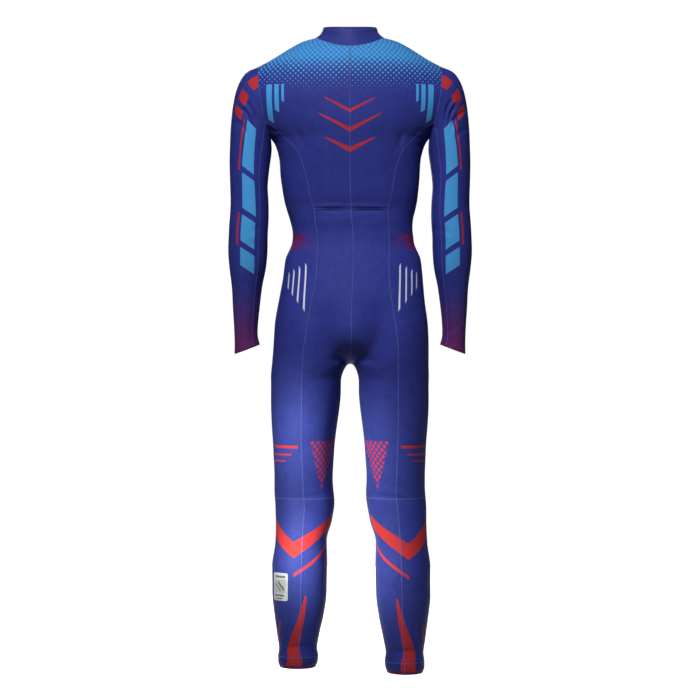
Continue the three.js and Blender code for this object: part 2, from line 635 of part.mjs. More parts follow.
function solidOf(geometry) {
  const bare = geometry.index ? geometry.toNonIndexed() : geometry;
  const positions = bare.getAttribute("position");
  const known = new Map();
  const vertices = [];
  const triangles = [];
  for (let i = 0; i < positions.count; i++) {
    const p = new THREE.Vector3().fromBufferAttribute(positions, i);
    const key = pointKey(p);
    if (!known.has(key)) {
      known.set(key, vertices.length / 3);
      vertices.push(p.x, p.y, p.z);
    }
    triangles.push(known.get(key));
  }
  return new wasm.Manifold(new wasm.Mesh({
    numProp: 3,
    vertProperties: new Float32Array(vertices),
    triVerts: new Uint32Array(triangles),
  }));
}

function joined(first, second) {
  const mesh = solidOf(first).add(solidOf(second)).getMesh();
  const geometry = new THREE.BufferGeometry();
  geometry.setAttribute("position", new THREE.BufferAttribute(mesh.vertProperties, 3));
  geometry.setIndex(new THREE.BufferAttribute(mesh.triVerts, 1));
  return geometry;
}

function sliderGeometry() {
  const { width, length, corner } = SLIDER;
  const plateOutline = roundedOutline(width, SLIDER.z - length / 2, SLIDER.z + length / 2, corner);
  const plate = standOut(plateOutline, SLIDER.plate, SLIDER.backY);
  // The bridge is drawn from the side: forward from the plate and up, sunk a little into the plate.
  const sunk = 0.6;
  const reach = BRIDGE.windowHeight + BRIDGE.top;
  const side = new THREE.Shape();
  side.moveTo(-sunk, -BRIDGE.halfLength);
  side.lineTo(reach - BRIDGE.chamfer, -BRIDGE.halfLength);
  side.lineTo(reach, -BRIDGE.halfLength + BRIDGE.chamfer);
  side.lineTo(reach, BRIDGE.halfLength - BRIDGE.chamfer);
  side.lineTo(reach - BRIDGE.chamfer, BRIDGE.halfLength);
  side.lineTo(-sunk, BRIDGE.halfLength);
  const window = new THREE.Path();
  window.moveTo(0, -BRIDGE.windowHalfLength);
  window.lineTo(0, BRIDGE.windowHalfLength);
  window.lineTo(BRIDGE.windowHeight, BRIDGE.windowHalfLength);
  window.lineTo(BRIDGE.windowHeight, -BRIDGE.windowHalfLength);
  side.holes.push(window);
  const bridge = new THREE.ExtrudeGeometry(side, { depth: 2 * BRIDGE.halfWidth, bevelEnabled: false });
  bridge.applyMatrix4(new THREE.Matrix4().makeBasis(
    new THREE.Vector3(0, -1, 0), new THREE.Vector3(0, 0, 1), new THREE.Vector3(-1, 0, 0),
  ));
  bridge.translate(BRIDGE.halfWidth, SLIDER.backY - SLIDER.plate, SLIDER.z);
  return joined(plate, bridge);
}

function pullTabGeometry() {
  const outline = roundedOutline(TAB.width, barRadius - TAB.length, barRadius, TAB.corner);
  const eye = new THREE.Path();
  const [w, top, bottom] = [TAB.eyeWidth / 2, -barRadius, -barRadius - TAB.eyeLength];
  eye.moveTo(-w, top);
  eye.lineTo(-w, bottom);
  eye.lineTo(w, bottom);
  eye.lineTo(w, top);
  outline.holes.push(eye);
  return standOut(outline, TAB.thickness, TAB.thickness / 2);
}

addPiece("zip_slider", sliderGeometry(), zipMetal);
addPiece("zip_pull_tab", pullTabGeometry(), zipMetal).position.copy(hinge);

export default suit;
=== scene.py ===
"""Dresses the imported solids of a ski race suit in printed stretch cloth, seams, a front zip and a calf label.

The cloth follows the same named sizes as the solids, in millimetres, and is turned into metres when a mesh
is made. The front of the suit faces -Y, the wearer's left is +X, and the origin is the centre of the neck.
"""

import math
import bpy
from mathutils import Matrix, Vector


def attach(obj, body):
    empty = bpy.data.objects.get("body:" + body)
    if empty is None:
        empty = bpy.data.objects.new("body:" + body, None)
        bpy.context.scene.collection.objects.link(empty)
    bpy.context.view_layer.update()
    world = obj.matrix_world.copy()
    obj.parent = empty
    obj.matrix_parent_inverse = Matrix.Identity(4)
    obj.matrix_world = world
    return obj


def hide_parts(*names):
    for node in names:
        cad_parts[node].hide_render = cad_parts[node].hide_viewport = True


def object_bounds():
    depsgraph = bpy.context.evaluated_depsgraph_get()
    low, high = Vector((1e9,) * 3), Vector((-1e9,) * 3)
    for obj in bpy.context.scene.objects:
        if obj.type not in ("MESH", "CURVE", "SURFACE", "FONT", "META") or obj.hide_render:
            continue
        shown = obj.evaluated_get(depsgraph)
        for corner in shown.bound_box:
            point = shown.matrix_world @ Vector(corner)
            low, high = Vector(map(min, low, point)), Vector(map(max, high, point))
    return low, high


bl_info = {
    "name": "Ski race suit",
    "version": (1, 0, 0),
    "blender": (4, 5, 0),
    "location": "View3D > Sidebar > Ski suit",
    "description": "Builds the printed cloth, seams, zip and label of a one-piece ski race suit",
    "category": "Add Mesh",
}

import bpy
import numpy as np
from bpy.props import FloatProperty, FloatVectorProperty, PointerProperty
from bpy.types import Operator, Panel, PropertyGroup
from mathutils import Vector

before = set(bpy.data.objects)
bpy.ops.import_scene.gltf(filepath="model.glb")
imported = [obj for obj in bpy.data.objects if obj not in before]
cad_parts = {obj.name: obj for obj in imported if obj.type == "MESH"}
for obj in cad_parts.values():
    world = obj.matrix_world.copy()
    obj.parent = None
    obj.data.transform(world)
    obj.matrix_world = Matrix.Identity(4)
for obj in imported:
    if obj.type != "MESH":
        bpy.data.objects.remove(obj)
CAD_BOX = [list(corner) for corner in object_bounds()]
MM = 0.001
SIDES = {"left": 1, "right": -1}


# Sizes shared with the solids


class Table:
    """Rows with named columns. Between its rows each column runs smoothly and never overshoots."""

    def __init__(self, names, *rows):
        self.names = names.split()
        self.rows = np.array(rows, float)
        slopes = np.diff(self.rows[:, 1:], axis=0) / np.diff(self.rows[:, :1], axis=0)
        before, after = slopes[:-1], slopes[1:]
        same_way = before * after > 0
        total = np.where(same_way, before + after, 1)
        middle = np.where(same_way, 2 * before * after / total, 0)
        self.slopes = np.vstack([slopes[:1], middle, slopes[-1:]])

    def read(self, value):
        value = np.asarray(value, float)
        keys = self.rows[:, 0]
        way = np.sign(keys[-1] - keys[0])
        i = np.clip(np.searchsorted(way * keys, way * value) - 1, 0, len(keys) - 2)
        span = keys[i + 1] - keys[i]
        s = np.clip((value - keys[i]) / span, 0, 1)
        h = s * s * (3 - 2 * s)
        row = {self.names[0]: value}
        for c, name in enumerate(self.names[1:]):
            leave, arrive = self.slopes[i, c] * span, self.slopes[i + 1, c] * span
            row[name] = (
                self.rows[i, c + 1] * (1 - h)
                + self.rows[i + 1, c + 1] * h
                + leave * s * (1 - s) ** 2
                - arrive * s * s * (1 - s)
            )
        return row


LUMBAR_SEAM_Z = -385
ZIP_END_Z = -640
HIP_Z = -520
SEAT_Z = -650
CROTCH_Z = -726
INSEAM_ARCH = 30
ARCH_ANGLE = 0.5
CENTRE_ANGLE = 0.9
KNEE_SEAM_Z = -1024
HEM_SEAM_Z = -1376
HEM_Z = -1401
RIGHT_LEG_EXTRA = 13
ZIP_HALF_WIDTH = 8
LOWER_ZIP_SHARE = 0.2
LABEL_TOP_Z, LABEL_BOTTOM_Z = -1186, -1248

ARMHOLE_Z, ARMHOLE_HALF_HEIGHT = -146, 80
ARMHOLE_TOP_X, ARMHOLE_BOTTOM_X = 203, 176
ARMHOLE_Y, ARMHOLE_BACK, ARMHOLE_FRONT = 2, 68, 60
ARMHOLE_STEP = math.radians(18)
ARMHOLE_STEPS = 10
SIDE_PANEL_STEP = 7

NECK_COLUMNS = "rise side front back middle z_side z_front z_back square"
COLLAR = Table(
    NECK_COLUMNS,
    (1, 60, -62, 50, -6, 22, 2, 17, 2.1),
    (0.7, 62, -62.5, 52.5, -6, 15, -16, 4, 2.1),
    (0.35, 67, -64, 57, -5, 7, -35, -12, 2.1),
    (0, 77, -66, 63, -4, -1, -52, -27, 2.1),
)
YOKE = Table(
    NECK_COLUMNS,
    (1, 77, -66, 63, -4, -1, -52, -27, 2.1),
    (0.8, 103, -70, 69, -3, -8.5, -55, -34.5, 2.1),
    (0.6, 128.5, -73, 75, -1, -21, -58, -42, 2.05),
    (0.4, 153, -75, 81, 0, -36, -61, -50, 2),
    (0.2, 178, -77, 86, 1, -52, -64, -58, 2),
    (0, 203, -78, 90, 2, -66, -66, -66, 2),
)
CHEST = Table(
    "z front back",
    (-66, -78, 90),
    (-100, -96, 100),
    (-146, -112, 108),
    (-190, -121, 110),
    (-226, -124, 106),
)
TORSO = Table(
    "z side front back middle square",
    (-226, 176, -124, 106, 2, 2),
    (-236, 169, -124, 104, 1, 2.1),
    (-250, 163, -123, 102, 0, 2.2),
    (-275, 157, -121, 98, -2, 2.3),
    (-320, 154, -115, 90, -5, 2.3),
    (-360, 149, -110, 82.5, -7, 2.3),
    (-385, 143, -107, 75.5, -8.5, 2.3),
    (-404, 137.5, -105, 76, -9, 2.3),
    (-430, 134, -104, 73.5, -9, 2.3),
    (-455, 136, -104, 76, -8, 2.3),
    (-495, 151, -106, 87, -4, 2.3),
    (-540, 156, -107, 101, 0, 2.3),
    (-600, 161, -104, 118, 2, 2.3),
    (-650, 169, -98, 124, 4, 2.3),
    (-690, 173, -94, 121, 4, 2.3),
    (-726, 174, -92, 113, 4, 2.3),
)
LEG = Table(
    "z inner outer front back",
    (-650, 0, 172, -97, 119),
    (-726, 0, 174, -94, 108),
    (-756, 18, 176, -94, 99),
    (-800, 21, 176, -93, 92),
    (-860, 28, 174, -89, 85),
    (-920, 35, 170, -81, 76),
    (-980, 38, 168, -74, 67),
    (-1024, 36, 168, -69, 63),
    (-1075, 43, 168, -59, 67),
    (-1120, 55, 169, -53, 74),
    (-1180, 54, 176, -49, 77),
    (-1230, 55, 176, -47, 72),
    (-1284, 62, 171, -46, 60),
    (-1330, 72, 165, -45, 50),
    (-1360, 77, 161, -44, 45),
    (-1376, 74.5, 163, -46, 47),
    (-1389, 75.5, 163, -46, 46),
    (-1401, 80, 159, -42, 42),
)
SWAY = Table(
    "z x",
    (-300, 0),
    (-400, -3),
    (-450, -7),
    (-520, -6.5),
    (-600, -3.5),
    (-680, -2.5),
    (-760, 0),
    (-1000, 1),
    (-1050, -2),
    (-1150, -3),
)
SIDE_SEAMS = Table(
    "z back front",
    (-193, 186, 186),
    (-208, 165, 168),
    (-226, 146, 152),
    (-244, 127, 138),
    (-257, 117, 128),
    (-288, 104, 116),
    (-325, 95, 106),
    (-363, 88, 98),
    (-387, 82, 92),
    (-466, 79, 88),
    (-541, 80, 88),
    (-578, 86, 92),
    (-615, 92, 96),
    (-653, 98, 100),
    (-697, 103, 104),
    (-804, 106, 106),
    (-891, 106, 106),
    (-956, 104, 105),
    (-1024, 102, 105),
    (-1120, 108, 110),
    (-1284, 113, 114),
    (-1401, 118, 119),
)
SLEEVE = Table(
    "station inner_x inner_z outer_x outer_z y back front",
    (1, 175, -231, 228, -77, 3, 66, 60),
    (2, 174.5, -238, 243, -95, 4, 63, 59),
    (3, 174, -248, 254, -121, 5, 60, 58),
    (4, 175, -262, 260.5, -152, 6, 57, 57),
    (5, 178, -281, 264, -188, 7, 55, 55),
    (6, 181, -304, 266.5, -229, 8, 53, 53),
    (7, 183, -332, 268, -274, 8, 51, 51),
    (8, 181, -366, 267, -324, 7, 49, 49),
    (9, 181, -402, 266, -375, 5, 48, 48),
    (10, 183, -440, 270, -427, 2, 47, 47),
    (11, 184, -476, 272, -472, -3, 46, 46),
    (12, 188, -514, 269, -514, -10, 44, 44),
    (13, 196, -553, 265, -556, -19, 40, 40),
    (14, 202, -592, 263, -597, -28, 36, 36),
    (15, 206, -629, 261, -638, -36, 32.5, 32.5),
    (16, 207.5, -662, 259.5, -678, -42, 30.5, 30.5),
    (17, 203, -684, 260, -705, -46, 32, 32),
)

# Main creases, seen from behind (face 1) or from the front (face -1). Side 1 is the wearer's left, -1 the
# right. x is measured outwards from the centre line. Bow bends the middle of the crease across its run.
CREASES = (
    # face, side, x0, z0, x1, z1, bow, width, depth
    (1, 1, 210, -198, 226, -152, 4, 4.0, -3.6),
    (1, 1, 217, -206, 243, -160, 6, 4.5, -3.0),
    (1, 1, 214, -201, 235, -155, 5, 3.5, 2.2),
    (1, 1, 226, -222, 256, -190, 5, 5.0, -2.4),
    (1, -1, 209, -197, 222, -146, 3, 4.0, -4.4),
    (1, -1, 216, -204, 240, -150, 6, 4.0, -4.0),
    (1, -1, 212, -200, 231, -148, 5, 3.5, 2.8),
    (1, -1, 222, -214, 254, -168, 7, 4.8, -3.6),
    (1, -1, 230, -234, 260, -206, 4, 5.5, -2.4),
    (1, 1, 190, -204, 150, -216, 3, 4.5, -2.6),
    (1, 1, 176, -222, 152, -240, 4, 5.0, -1.6),
    (1, 1, 116, -214, 108, -252, -5, 4.5, -3.0),
    (1, 1, 100, -232, 88, -262, 4, 6.0, -1.3),
    (1, -1, 191, -204, 146, -214, 4, 4.5, -3.0),
    (1, -1, 172, -226, 146, -250, 4, 5.5, -1.8),
    (1, -1, 120, -216, 112, -256, -5, 4.5, -3.6),
    (1, -1, 104, -238, 92, -270, 4, 6.0, -1.5),
    (1, 1, -4, -380, 82, -381, 1, 4.5, 3.6),
    (1, -1, -4, -380, 86, -382, 1, 4.5, 3.8),
    (1, 1, 2, -389, 76, -388, -1, 4.5, -2.4),
    (1, 1, 0, -397, 72, -394, -3, 12.0, -1.6),
    (1, -1, -2, -389, 82, -388, -1, 4.5, -2.8),
    (1, -1, 0, -398, 80, -395, -3, 13.0, -1.8),
    (1, 1, 30, -410, 92, -400, 4, 7.0, -1.0),
    (1, -1, 14, -412, 58, -406, -3, 7.0, -1.2),
    (1, 1, 78, -388, 88, -436, 4, 7.0, -1.8),
    (1, -1, 82, -390, 86, -430, 3, 6.0, -1.4),
    (1, 1, 60, -350, 82, -368, 3, 6.0, -0.9),
    (1, -1, 54, -346, 84, -370, 4, 6.0, -1.0),
    (1, 1, 90, -462, 138, -446, 4, 8.0, -1.4),
    (1, -1, 92, -458, 136, -440, 5, 8.0, -1.5),
    (1, 1, 88, -500, 140, -486, 5, 9.0, -1.0),
    (1, 1, 6, -694, 70, -732, -12, 14.0, -3.8),
    (1, -1, 6, -692, 74, -728, -12, 14.0, -4.1),
    (1, 1, 30, -742, 96, -768, -8, 11.0, -1.4),
    (1, -1, 26, -738, 90, -770, -8, 11.0, -1.2),
    (1, 1, 44, -1014, 150, -1030, 3, 8.0, -2.6),
    (1, -1, 42, -1016, 146, -1034, 4, 8.0, -3.0),
    (1, 1, 50, -992, 118, -1000, 4, 10.0, -1.2),
    (1, -1, 52, -990, 112, -1002, 5, 10.0, -1.4),
    (1, 1, 56, -1060, 120, -1052, 4, 11.0, -1.2),
    (1, -1, 54, -1064, 126, -1056, 5, 11.0, -1.3),
    (1, 1, 84, -1352, 152, -1356, 3, 5.0, -1.8),
    (1, -1, 84, -1366, 152, -1362, 3, 5.0, -2.2),
    (1, 1, 92, -1340, 104, -1300, 4, 7.0, -1.0),
    (1, -1, 96, -1350, 88, -1304, 4, 7.0, -1.2),
    (1, 1, 190, -424, 222, -440, 4, 6.0, -1.6),
    (1, -1, 190, -430, 226, -444, 4, 6.0, -1.8),
    (1, 1, 192, -462, 232, -470, 5, 8.0, -1.2),
    (1, -1, 192, -458, 236, -474, 5, 8.0, -1.2),
    (1, 1, 214, -668, 240, -640, 4, 5.0, -1.2),
    (1, -1, 216, -664, 246, -640, 4, 5.0, -1.4),
    (-1, 1, 206, -196, 222, -142, 4, 5.0, -3.4),
    (-1, 1, 213, -206, 240, -158, 6, 5.5, -2.8),
    (-1, 1, 224, -222, 254, -186, 6, 6.0, -1.8),
    (-1, -1, 207, -194, 224, -146, 4, 5.0, -3.0),
    (-1, -1, 214, -204, 244, -162, 6, 6.0, -2.6),
    (-1, -1, 222, -226, 256, -196, 6, 6.0, -1.6),
    (-1, 1, 186, -204, 132, -206, 6, 5.5, -2.6),
    (-1, 1, 178, -226, 140, -250, 6, 6.0, -1.8),
    (-1, -1, 186, -202, 128, -210, 7, 5.5, -2.8),
    (-1, -1, 176, -228, 138, -246, 5, 6.0, -1.6),
    (-1, 1, 10, -470, 122, -452, 8, 9.0, -1.8),
    (-1, -1, 12, -468, 120, -460, 8, 9.0, -2.0),
    (-1, 1, 14, -520, 110, -498, 8, 10.0, -1.4),
    (-1, -1, 12, -508, 116, -490, 8, 10.0, -1.2),
    (-1, 1, 8, -692, 118, -640, 10, 10.0, -3.0),
    (-1, -1, 8, -690, 122, -646, 10, 10.0, -3.2),
    (-1, 1, 10, -712, 128, -696, -8, 10.0, -2.4),
    (-1, -1, 10, -714, 124, -692, -8, 10.0, -2.2),
    (-1, 1, 56, -1002, 148, -992, 5, 9.0, -1.4),
    (-1, -1, 54, -1006, 150, -996, 5, 9.0, -1.4),
    (-1, 1, 186, -436, 236, -458, 6, 6.5, -3.0),
    (-1, -1, 186, -442, 238, -452, 6, 6.5, -2.8),
    (-1, 1, 186, -470, 240, -478, 5, 7.0, -2.6),
    (-1, -1, 188, -474, 238, -486, 5, 7.0, -2.8),
    (-1, 1, 190, -500, 232, -498, 5, 7.0, -1.8),
    (-1, -1, 190, -506, 236, -500, 5, 7.0, -1.6),
    (-1, 1, 84, -1350, 154, -1358, 3, 5.5, -1.8),
    (-1, -1, 84, -1362, 154, -1368, 3, 5.5, -2.0),
)


# The surface of the suit


def smooth(value):
    value = np.clip(value, 0, 1)
    return value * value * (3 - 2 * value)


def column(values):
    return np.asarray(values, float).reshape(-1, 1)


LEG_VALUES = ("inner", "arch_inner", "outer", "leg_front", "leg_back", "centre_share", "side_share")
ABOVE_ARMHOLE, BELOW_ARMHOLE = -1.0, ARMHOLE_STEPS + 1.0


def rings_of(shape, z, step, edge_x, **more):
    """Rings round the suit, level unless more says so. Above the underarm they have nothing of the legs."""
    return {
        **dict.fromkeys(("z", "z_side", "z_front", "z_back"), z),
        **dict.fromkeys(LEG_VALUES, np.zeros_like(z)),
        **{name: shape[name] for name in ("middle", "square")},
        "reach_front": shape["side"],
        "reach_back": shape["side"],
        "y_front": shape["front"],
        "y_back": shape["back"],
        "step": np.full_like(z, step),
        "armhole_x": edge_x,
        **more,
    }


def neck_rings(table, rises):
    """Sloping rings of the collar or the yoke."""
    row = {name: column(values) for name, values in table.read(rises).items()}
    slope = {name: row[name] for name in ("z_front", "z_back")}
    return rings_of(row, row["z_side"], ABOVE_ARMHOLE, row["side"], **slope)


def armhole_point(angle):
    """A point of the armhole's edge, by its angle from the top towards the back."""
    fall = (1 - np.cos(angle)) / 2
    depth = np.where(np.sin(angle) > 0, ARMHOLE_BACK, ARMHOLE_FRONT)
    return np.stack(
        [
            ARMHOLE_TOP_X + (ARMHOLE_BOTTOM_X - ARMHOLE_TOP_X) * fall * fall,
            ARMHOLE_Y + depth * np.sin(angle),
            ARMHOLE_Z + ARMHOLE_HALF_HEIGHT * np.cos(angle),
        ],
        axis=-1,
    )


def armhole_rings(steps):
    """Level rings beside the armhole, each run out through the armhole's edge."""
    angle = column(steps) * ARMHOLE_STEP
    edge = armhole_point(angle)
    x, z = edge[..., 0], edge[..., 2]
    chest = CHEST.read(z)

    def reach(depth, centre):
        share = depth * np.sin(angle) / np.abs(centre - ARMHOLE_Y)
        return x / np.sqrt(1 - share**2)

    shape = {**chest, "side": x, "middle": np.full_like(z, ARMHOLE_Y), "square": np.full_like(z, 2.0)}
    reach_front, reach_back = reach(ARMHOLE_FRONT, chest["front"]), reach(ARMHOLE_BACK, chest["back"])
    return rings_of(shape, z, column(steps), x, reach_front=reach_front, reach_back=reach_back)


def lower_rings(heights):
    """Level rings from the underarm to the hem. Below the seat they are drawn in until they are legs."""
    z = column(heights)
    torso, leg = TORSO.read(z), LEG.read(z)
    drop = np.clip((SEAT_Z - z) / (SEAT_Z - CROTCH_Z), 0, 1)
    arch = np.clip((CROTCH_Z - z) / INSEAM_ARCH, 0, 1)
    arch_inner = LEG.read(CROTCH_Z - INSEAM_ARCH)["inner"] * np.sqrt(arch)
    return rings_of(
        torso,
        z,
        BELOW_ARMHOLE,
        torso["side"],
        inner=leg["inner"],
        arch_inner=np.where(arch < 1, arch_inner, leg["inner"]),
        outer=leg["outer"],
        leg_front=leg["front"],
        leg_back=leg["back"],
        centre_share=1 - np.sqrt(1 - drop**2),
        side_share=smooth((HIP_Z - z) / (HIP_Z - CROTCH_Z)),
    )


def stack(*groups):
    """Groups of rings, one below the other."""
    return {name: np.vstack([group[name] for group in groups]) for name in groups[0]}


def rows_of(rings, rows):
    return {name: values[rows] for name, values in rings.items()}


def ring_points(rings, face, angle):
    """Points of each ring, by their angle from the centre line (0) to the side (a quarter turn)."""
    across = np.clip(np.sin(angle), 0, None) ** (2 / rings["square"])
    along = np.clip(np.cos(angle), 0, None) ** (2 / rings["square"])
    x = rings["reach_" + face] * across
    y = rings["middle"] + (rings["y_" + face] - rings["middle"]) * along
    z = rings["z_side"] + (rings["z_" + face] - rings["z_side"]) * np.cos(angle) ** 2
    centre_share, side_share = rings["centre_share"], rings["side_share"]
    share = centre_share + (side_share - centre_share) * smooth(angle / CENTRE_ANGLE)
    inner = rings["arch_inner"] + (rings["inner"] - rings["arch_inner"]) * smooth(angle / ARCH_ANGLE)
    outer = rings["outer"]
    depth = (rings["leg_back"] - rings["leg_front"]) / 2
    leg_x = (inner + outer) / 2 - (outer - inner) / 2 * np.cos(2 * angle)
    turn = depth * np.sin(2 * angle)
    leg_y = (rings["leg_front"] + rings["leg_back"]) / 2 + (turn if face == "back" else -turn)
    return np.stack([x + (leg_x - x) * share, y + (leg_y - y) * share, z + 0 * x], axis=-1)


# How often a range of angles is halved to find one
HALVINGS = 34


def angle_at(rings, face, x):
    """The angle at which each ring reaches x, found by halving."""
    low = np.zeros_like(rings["z"])
    high = np.full_like(low, math.pi / 2)
    for _ in range(HALVINGS):
        middle = (low + high) / 2
        short = ring_points(rings, face, middle)[..., 0] < x
        low, high = np.where(short, middle, low), np.where(short, high, middle)
    return (low + high) / 2


def spread(start, end, steps):
    """Values in even steps from the start to the end. Either may be a column, one value for each row."""
    return start + (end - start) * np.linspace(0, 1, steps + 1)


def panel_edge(rings, face):
    """Angle of the outer edge of the front or back panel: shoulder seam, armhole, then side seam."""
    beside_armhole = angle_at(rings, face, rings["armhole_x"])
    at_seam = angle_at(rings, face, SIDE_SEAMS.read(rings["z"])[face])
    edge = np.where(rings["step"] <= SIDE_PANEL_STEP, beside_armhole, at_seam)
    return np.where(rings["step"] < 0, math.pi / 2, edge)


# A length that counts as none
TINY = 1e-9


def unit(vectors):
    """The same directions with length 1, or 0 where there is no direction."""
    return vectors / np.maximum(np.linalg.norm(vectors, axis=-1, keepdims=True), TINY)


def runs(points):
    """Distance along each row of points from its first column."""
    steps = np.linalg.norm(np.diff(points, axis=1), axis=-1)
    return np.hstack([np.zeros((len(points), 1)), np.cumsum(steps, axis=1)])


def on_side(points, side, sway):
    """The half that a side needs, with the right leg drawn out to its own length below the knee."""
    share = np.clip((KNEE_SEAM_Z - points[..., 2]) / (KNEE_SEAM_Z - HEM_Z), 0, 1)
    moved = points.copy()
    moved[..., 0] = points[..., 0] * side + (SWAY.read(points[..., 2])["x"] if sway else 0)
    moved[..., 2] -= RIGHT_LEG_EXTRA * share if side < 0 else 0
    return moved


def patch(side, points, from_back, from_front, sway=True):
    """A grid of cloth whose rows run down. It keeps how far each point lies round from the centre lines."""
    return {
        "points": on_side(points, side, sway),
        "from_back": from_back,
        "from_front": from_front,
        "height": points[..., 2],
        "flip": side < 0,
    }


def cut(piece, rows=slice(None), columns=slice(None)):
    """The part of a patch in these rows and columns."""
    return {k: v if k == "flip" else v[rows, columns] for k, v in piece.items()}


def quads_of(piece, start):
    rows, columns = piece["points"].shape[:2]
    index = start + np.arange(rows * columns).reshape(rows, columns)
    corners = [index[:-1, :-1], index[1:, :-1], index[1:, 1:], index[:-1, 1:]]
    if piece["flip"]:
        corners.reverse()
    return np.stack([c.ravel() for c in corners], axis=-1)


# Points that are the same when rounded to so many decimals of a millimetre are one
WELD_DECIMALS = 2


def weld(patches):
    """Joins patches whose points meet. Returns all their points, the first one at each place, where each point
    went, and the faces."""
    points = np.concatenate([p["points"].reshape(-1, 3) for p in patches])
    starts = np.cumsum([0] + [p["points"].shape[0] * p["points"].shape[1] for p in patches])
    places = np.round(points, WELD_DECIMALS) + 0.0
    _, first, goes_to = np.unique(places, axis=0, return_index=True, return_inverse=True)
    goes_to = goes_to.reshape(-1)
    quads = np.concatenate([quads_of(p, start) for p, start in zip(patches, starts)])
    return points, first, goes_to, goes_to[quads]


def vertex_normals(points, quads):
    """The cloth's outward direction at each point."""
    normals = np.zeros_like(points)
    across = points[quads[:, 2]] - points[quads[:, 0]]
    other = points[quads[:, 3]] - points[quads[:, 1]]
    faces = np.cross(across, other)
    for corner in range(4):
        np.add.at(normals, quads[:, corner], faces)
    return unit(normals)


# Unevenness of all the cloth: how high its broad and fine waves are, and how long, in mm
BROAD_WAVE, BROAD_X, BROAD_Z, BROAD_CROSS_X, BROAD_CROSS_Z = 0.35, 23, 61, 51, 37
FINE_WAVE, FINE_Y, FINE_Z = 0.2, 29, 17
# Creases: how far beyond its ends one is looked for, and what is left of its depth and width at the ends
CREASE_MARGIN = 60
END_DEPTH, END_WIDTH, END_ROUNDNESS = 0.25, 0.7, 0.8
FACING_GAIN = 2.2


def crease_depth(points, normals):
    """How far the creases push the cloth in or out. It also carries the slight unevenness of the cloth."""
    x, y, z = points.T
    depth = BROAD_WAVE * np.sin(x / BROAD_X + z / BROAD_Z) * np.sin(z / BROAD_CROSS_Z - x / BROAD_CROSS_X)
    depth += FINE_WAVE * np.sin(z / FINE_Z + y / FINE_Y)
    for face, side, x0, z0, x1, z1, bow, width, push in CREASES:
        near = (x * side > 0) & (np.abs(z - (z0 + z1) / 2) < abs(z1 - z0) / 2 + CREASE_MARGIN)
        px, pz = np.abs(x[near]), z[near]
        run = math.hypot(x1 - x0, z1 - z0)
        ux, uz = (x1 - x0) / run, (z1 - z0) / run
        along = ((px - x0) * ux + (pz - z0) * uz) / run
        off = (px - x0) * -uz + (pz - z0) * ux
        inside = np.clip(along, 0, 1)
        off = off - bow * np.sin(math.pi * inside)
        past = (along - inside) * run
        taper = END_DEPTH + (1 - END_DEPTH) * np.sin(math.pi * inside) ** END_ROUNDNESS
        shape = np.exp(-((off / (width * (END_WIDTH + (1 - END_WIDTH) * taper))) ** 2) - (past / width) ** 2)
        facing = np.clip(normals[near, 1] * face * FACING_GAIN, 0, 1)
        depth[near] += push * taper * shape * facing
    return depth


# Where the crotch is softened, how often, and how far each point moves towards its neighbours
RELAXED_HEIGHT, RELAXED_WIDTH, RELAX_ROUNDS, RELAX_SHARE = 34, 130, 40, 0.5


def relaxed(points, quads):
    """Softens the surface round the crotch, where the torso's rings turn into the legs'."""
    x, _, z = points.T
    share = np.exp(-(((z - CROTCH_Z) / RELAXED_HEIGHT) ** 2)) * (1 - smooth(np.abs(x) / RELAXED_WIDTH))
    edges = np.concatenate([quads[:, [i, (i + 1) % 4]] for i in range(4)])
    near = np.bincount(edges[:, 0], minlength=len(points)).reshape(-1, 1)
    for _ in range(RELAX_ROUNDS):
        total = np.zeros_like(points)
        np.add.at(total, edges[:, 0], points[edges[:, 1]])
        points = points + (total / np.maximum(near, 1) - points) * share[:, None] * RELAX_SHARE
    return points


def finish_surface(patches):
    """Adds the cloth's outward direction to every patch and presses the creases in."""
    points, first, goes_to, quads = weld(patches)
    points = relaxed(points[first], quads)
    normals = vertex_normals(points, quads)
    points = points + normals * crease_depth(points, normals)[:, None]
    start = 0
    for piece in patches:
        rows, columns = piece["points"].shape[:2]
        ids = goes_to[start : start + rows * columns]
        piece["normals"] = normals[ids].reshape(rows, columns, 3)
        piece["points"] = points[ids].reshape(rows, columns, 3)
        start += rows * columns


# Rows and columns of the cloth meshes
YOKE_STEPS, COLLAR_STEPS = 30, 14
STEPS_PER_ARMHOLE_STEP = 6
ROW_SPACING = 3.0
CROTCH_ROWS, ARCH_ROWS = 18, 10
ZIP_COLUMNS, FRONT_COLUMNS, BACK_COLUMNS, SIDE_HALF_COLUMNS = 2, 24, 26, 18


def heights(*stops):
    """Heights from one stop to the next, each stop included once."""
    out = []
    for above, below in zip(stops, stops[1:]):
        steps = max(1, round((above - below) / ROW_SPACING))
        out += list(spread(above, below, steps)[1:])
    return out


CROTCH_TURNS = np.linspace(0, math.pi / 2, CROTCH_ROWS + 1)[1:]
ARCH_SHARES = np.linspace(0, 1, ARCH_ROWS + 1)[1:]
LOWER_HEIGHTS = np.array(
    heights(TORSO.rows[0, 0], LUMBAR_SEAM_Z, ZIP_END_Z, SEAT_Z)
    + list(SEAT_Z + (CROTCH_Z - SEAT_Z) * np.sin(CROTCH_TURNS))
    + list(CROTCH_Z - INSEAM_ARCH * ARCH_SHARES**2)
    + heights(CROTCH_Z - INSEAM_ARCH, KNEE_SEAM_Z, LABEL_TOP_Z, LABEL_BOTTOM_Z, HEM_SEAM_Z, HEM_Z)
)
ARMHOLE_ROWS = spread(0, ARMHOLE_STEPS, ARMHOLE_STEPS * STEPS_PER_ARMHOLE_STEP)
UNDERARM_ROW = YOKE_STEPS + len(ARMHOLE_ROWS) - 1
HORN_ROW = YOKE_STEPS + SIDE_PANEL_STEP * STEPS_PER_ARMHOLE_STEP

# A distance round that no print reaches, for cloth that has no way to that centre line
FAR = 400.0


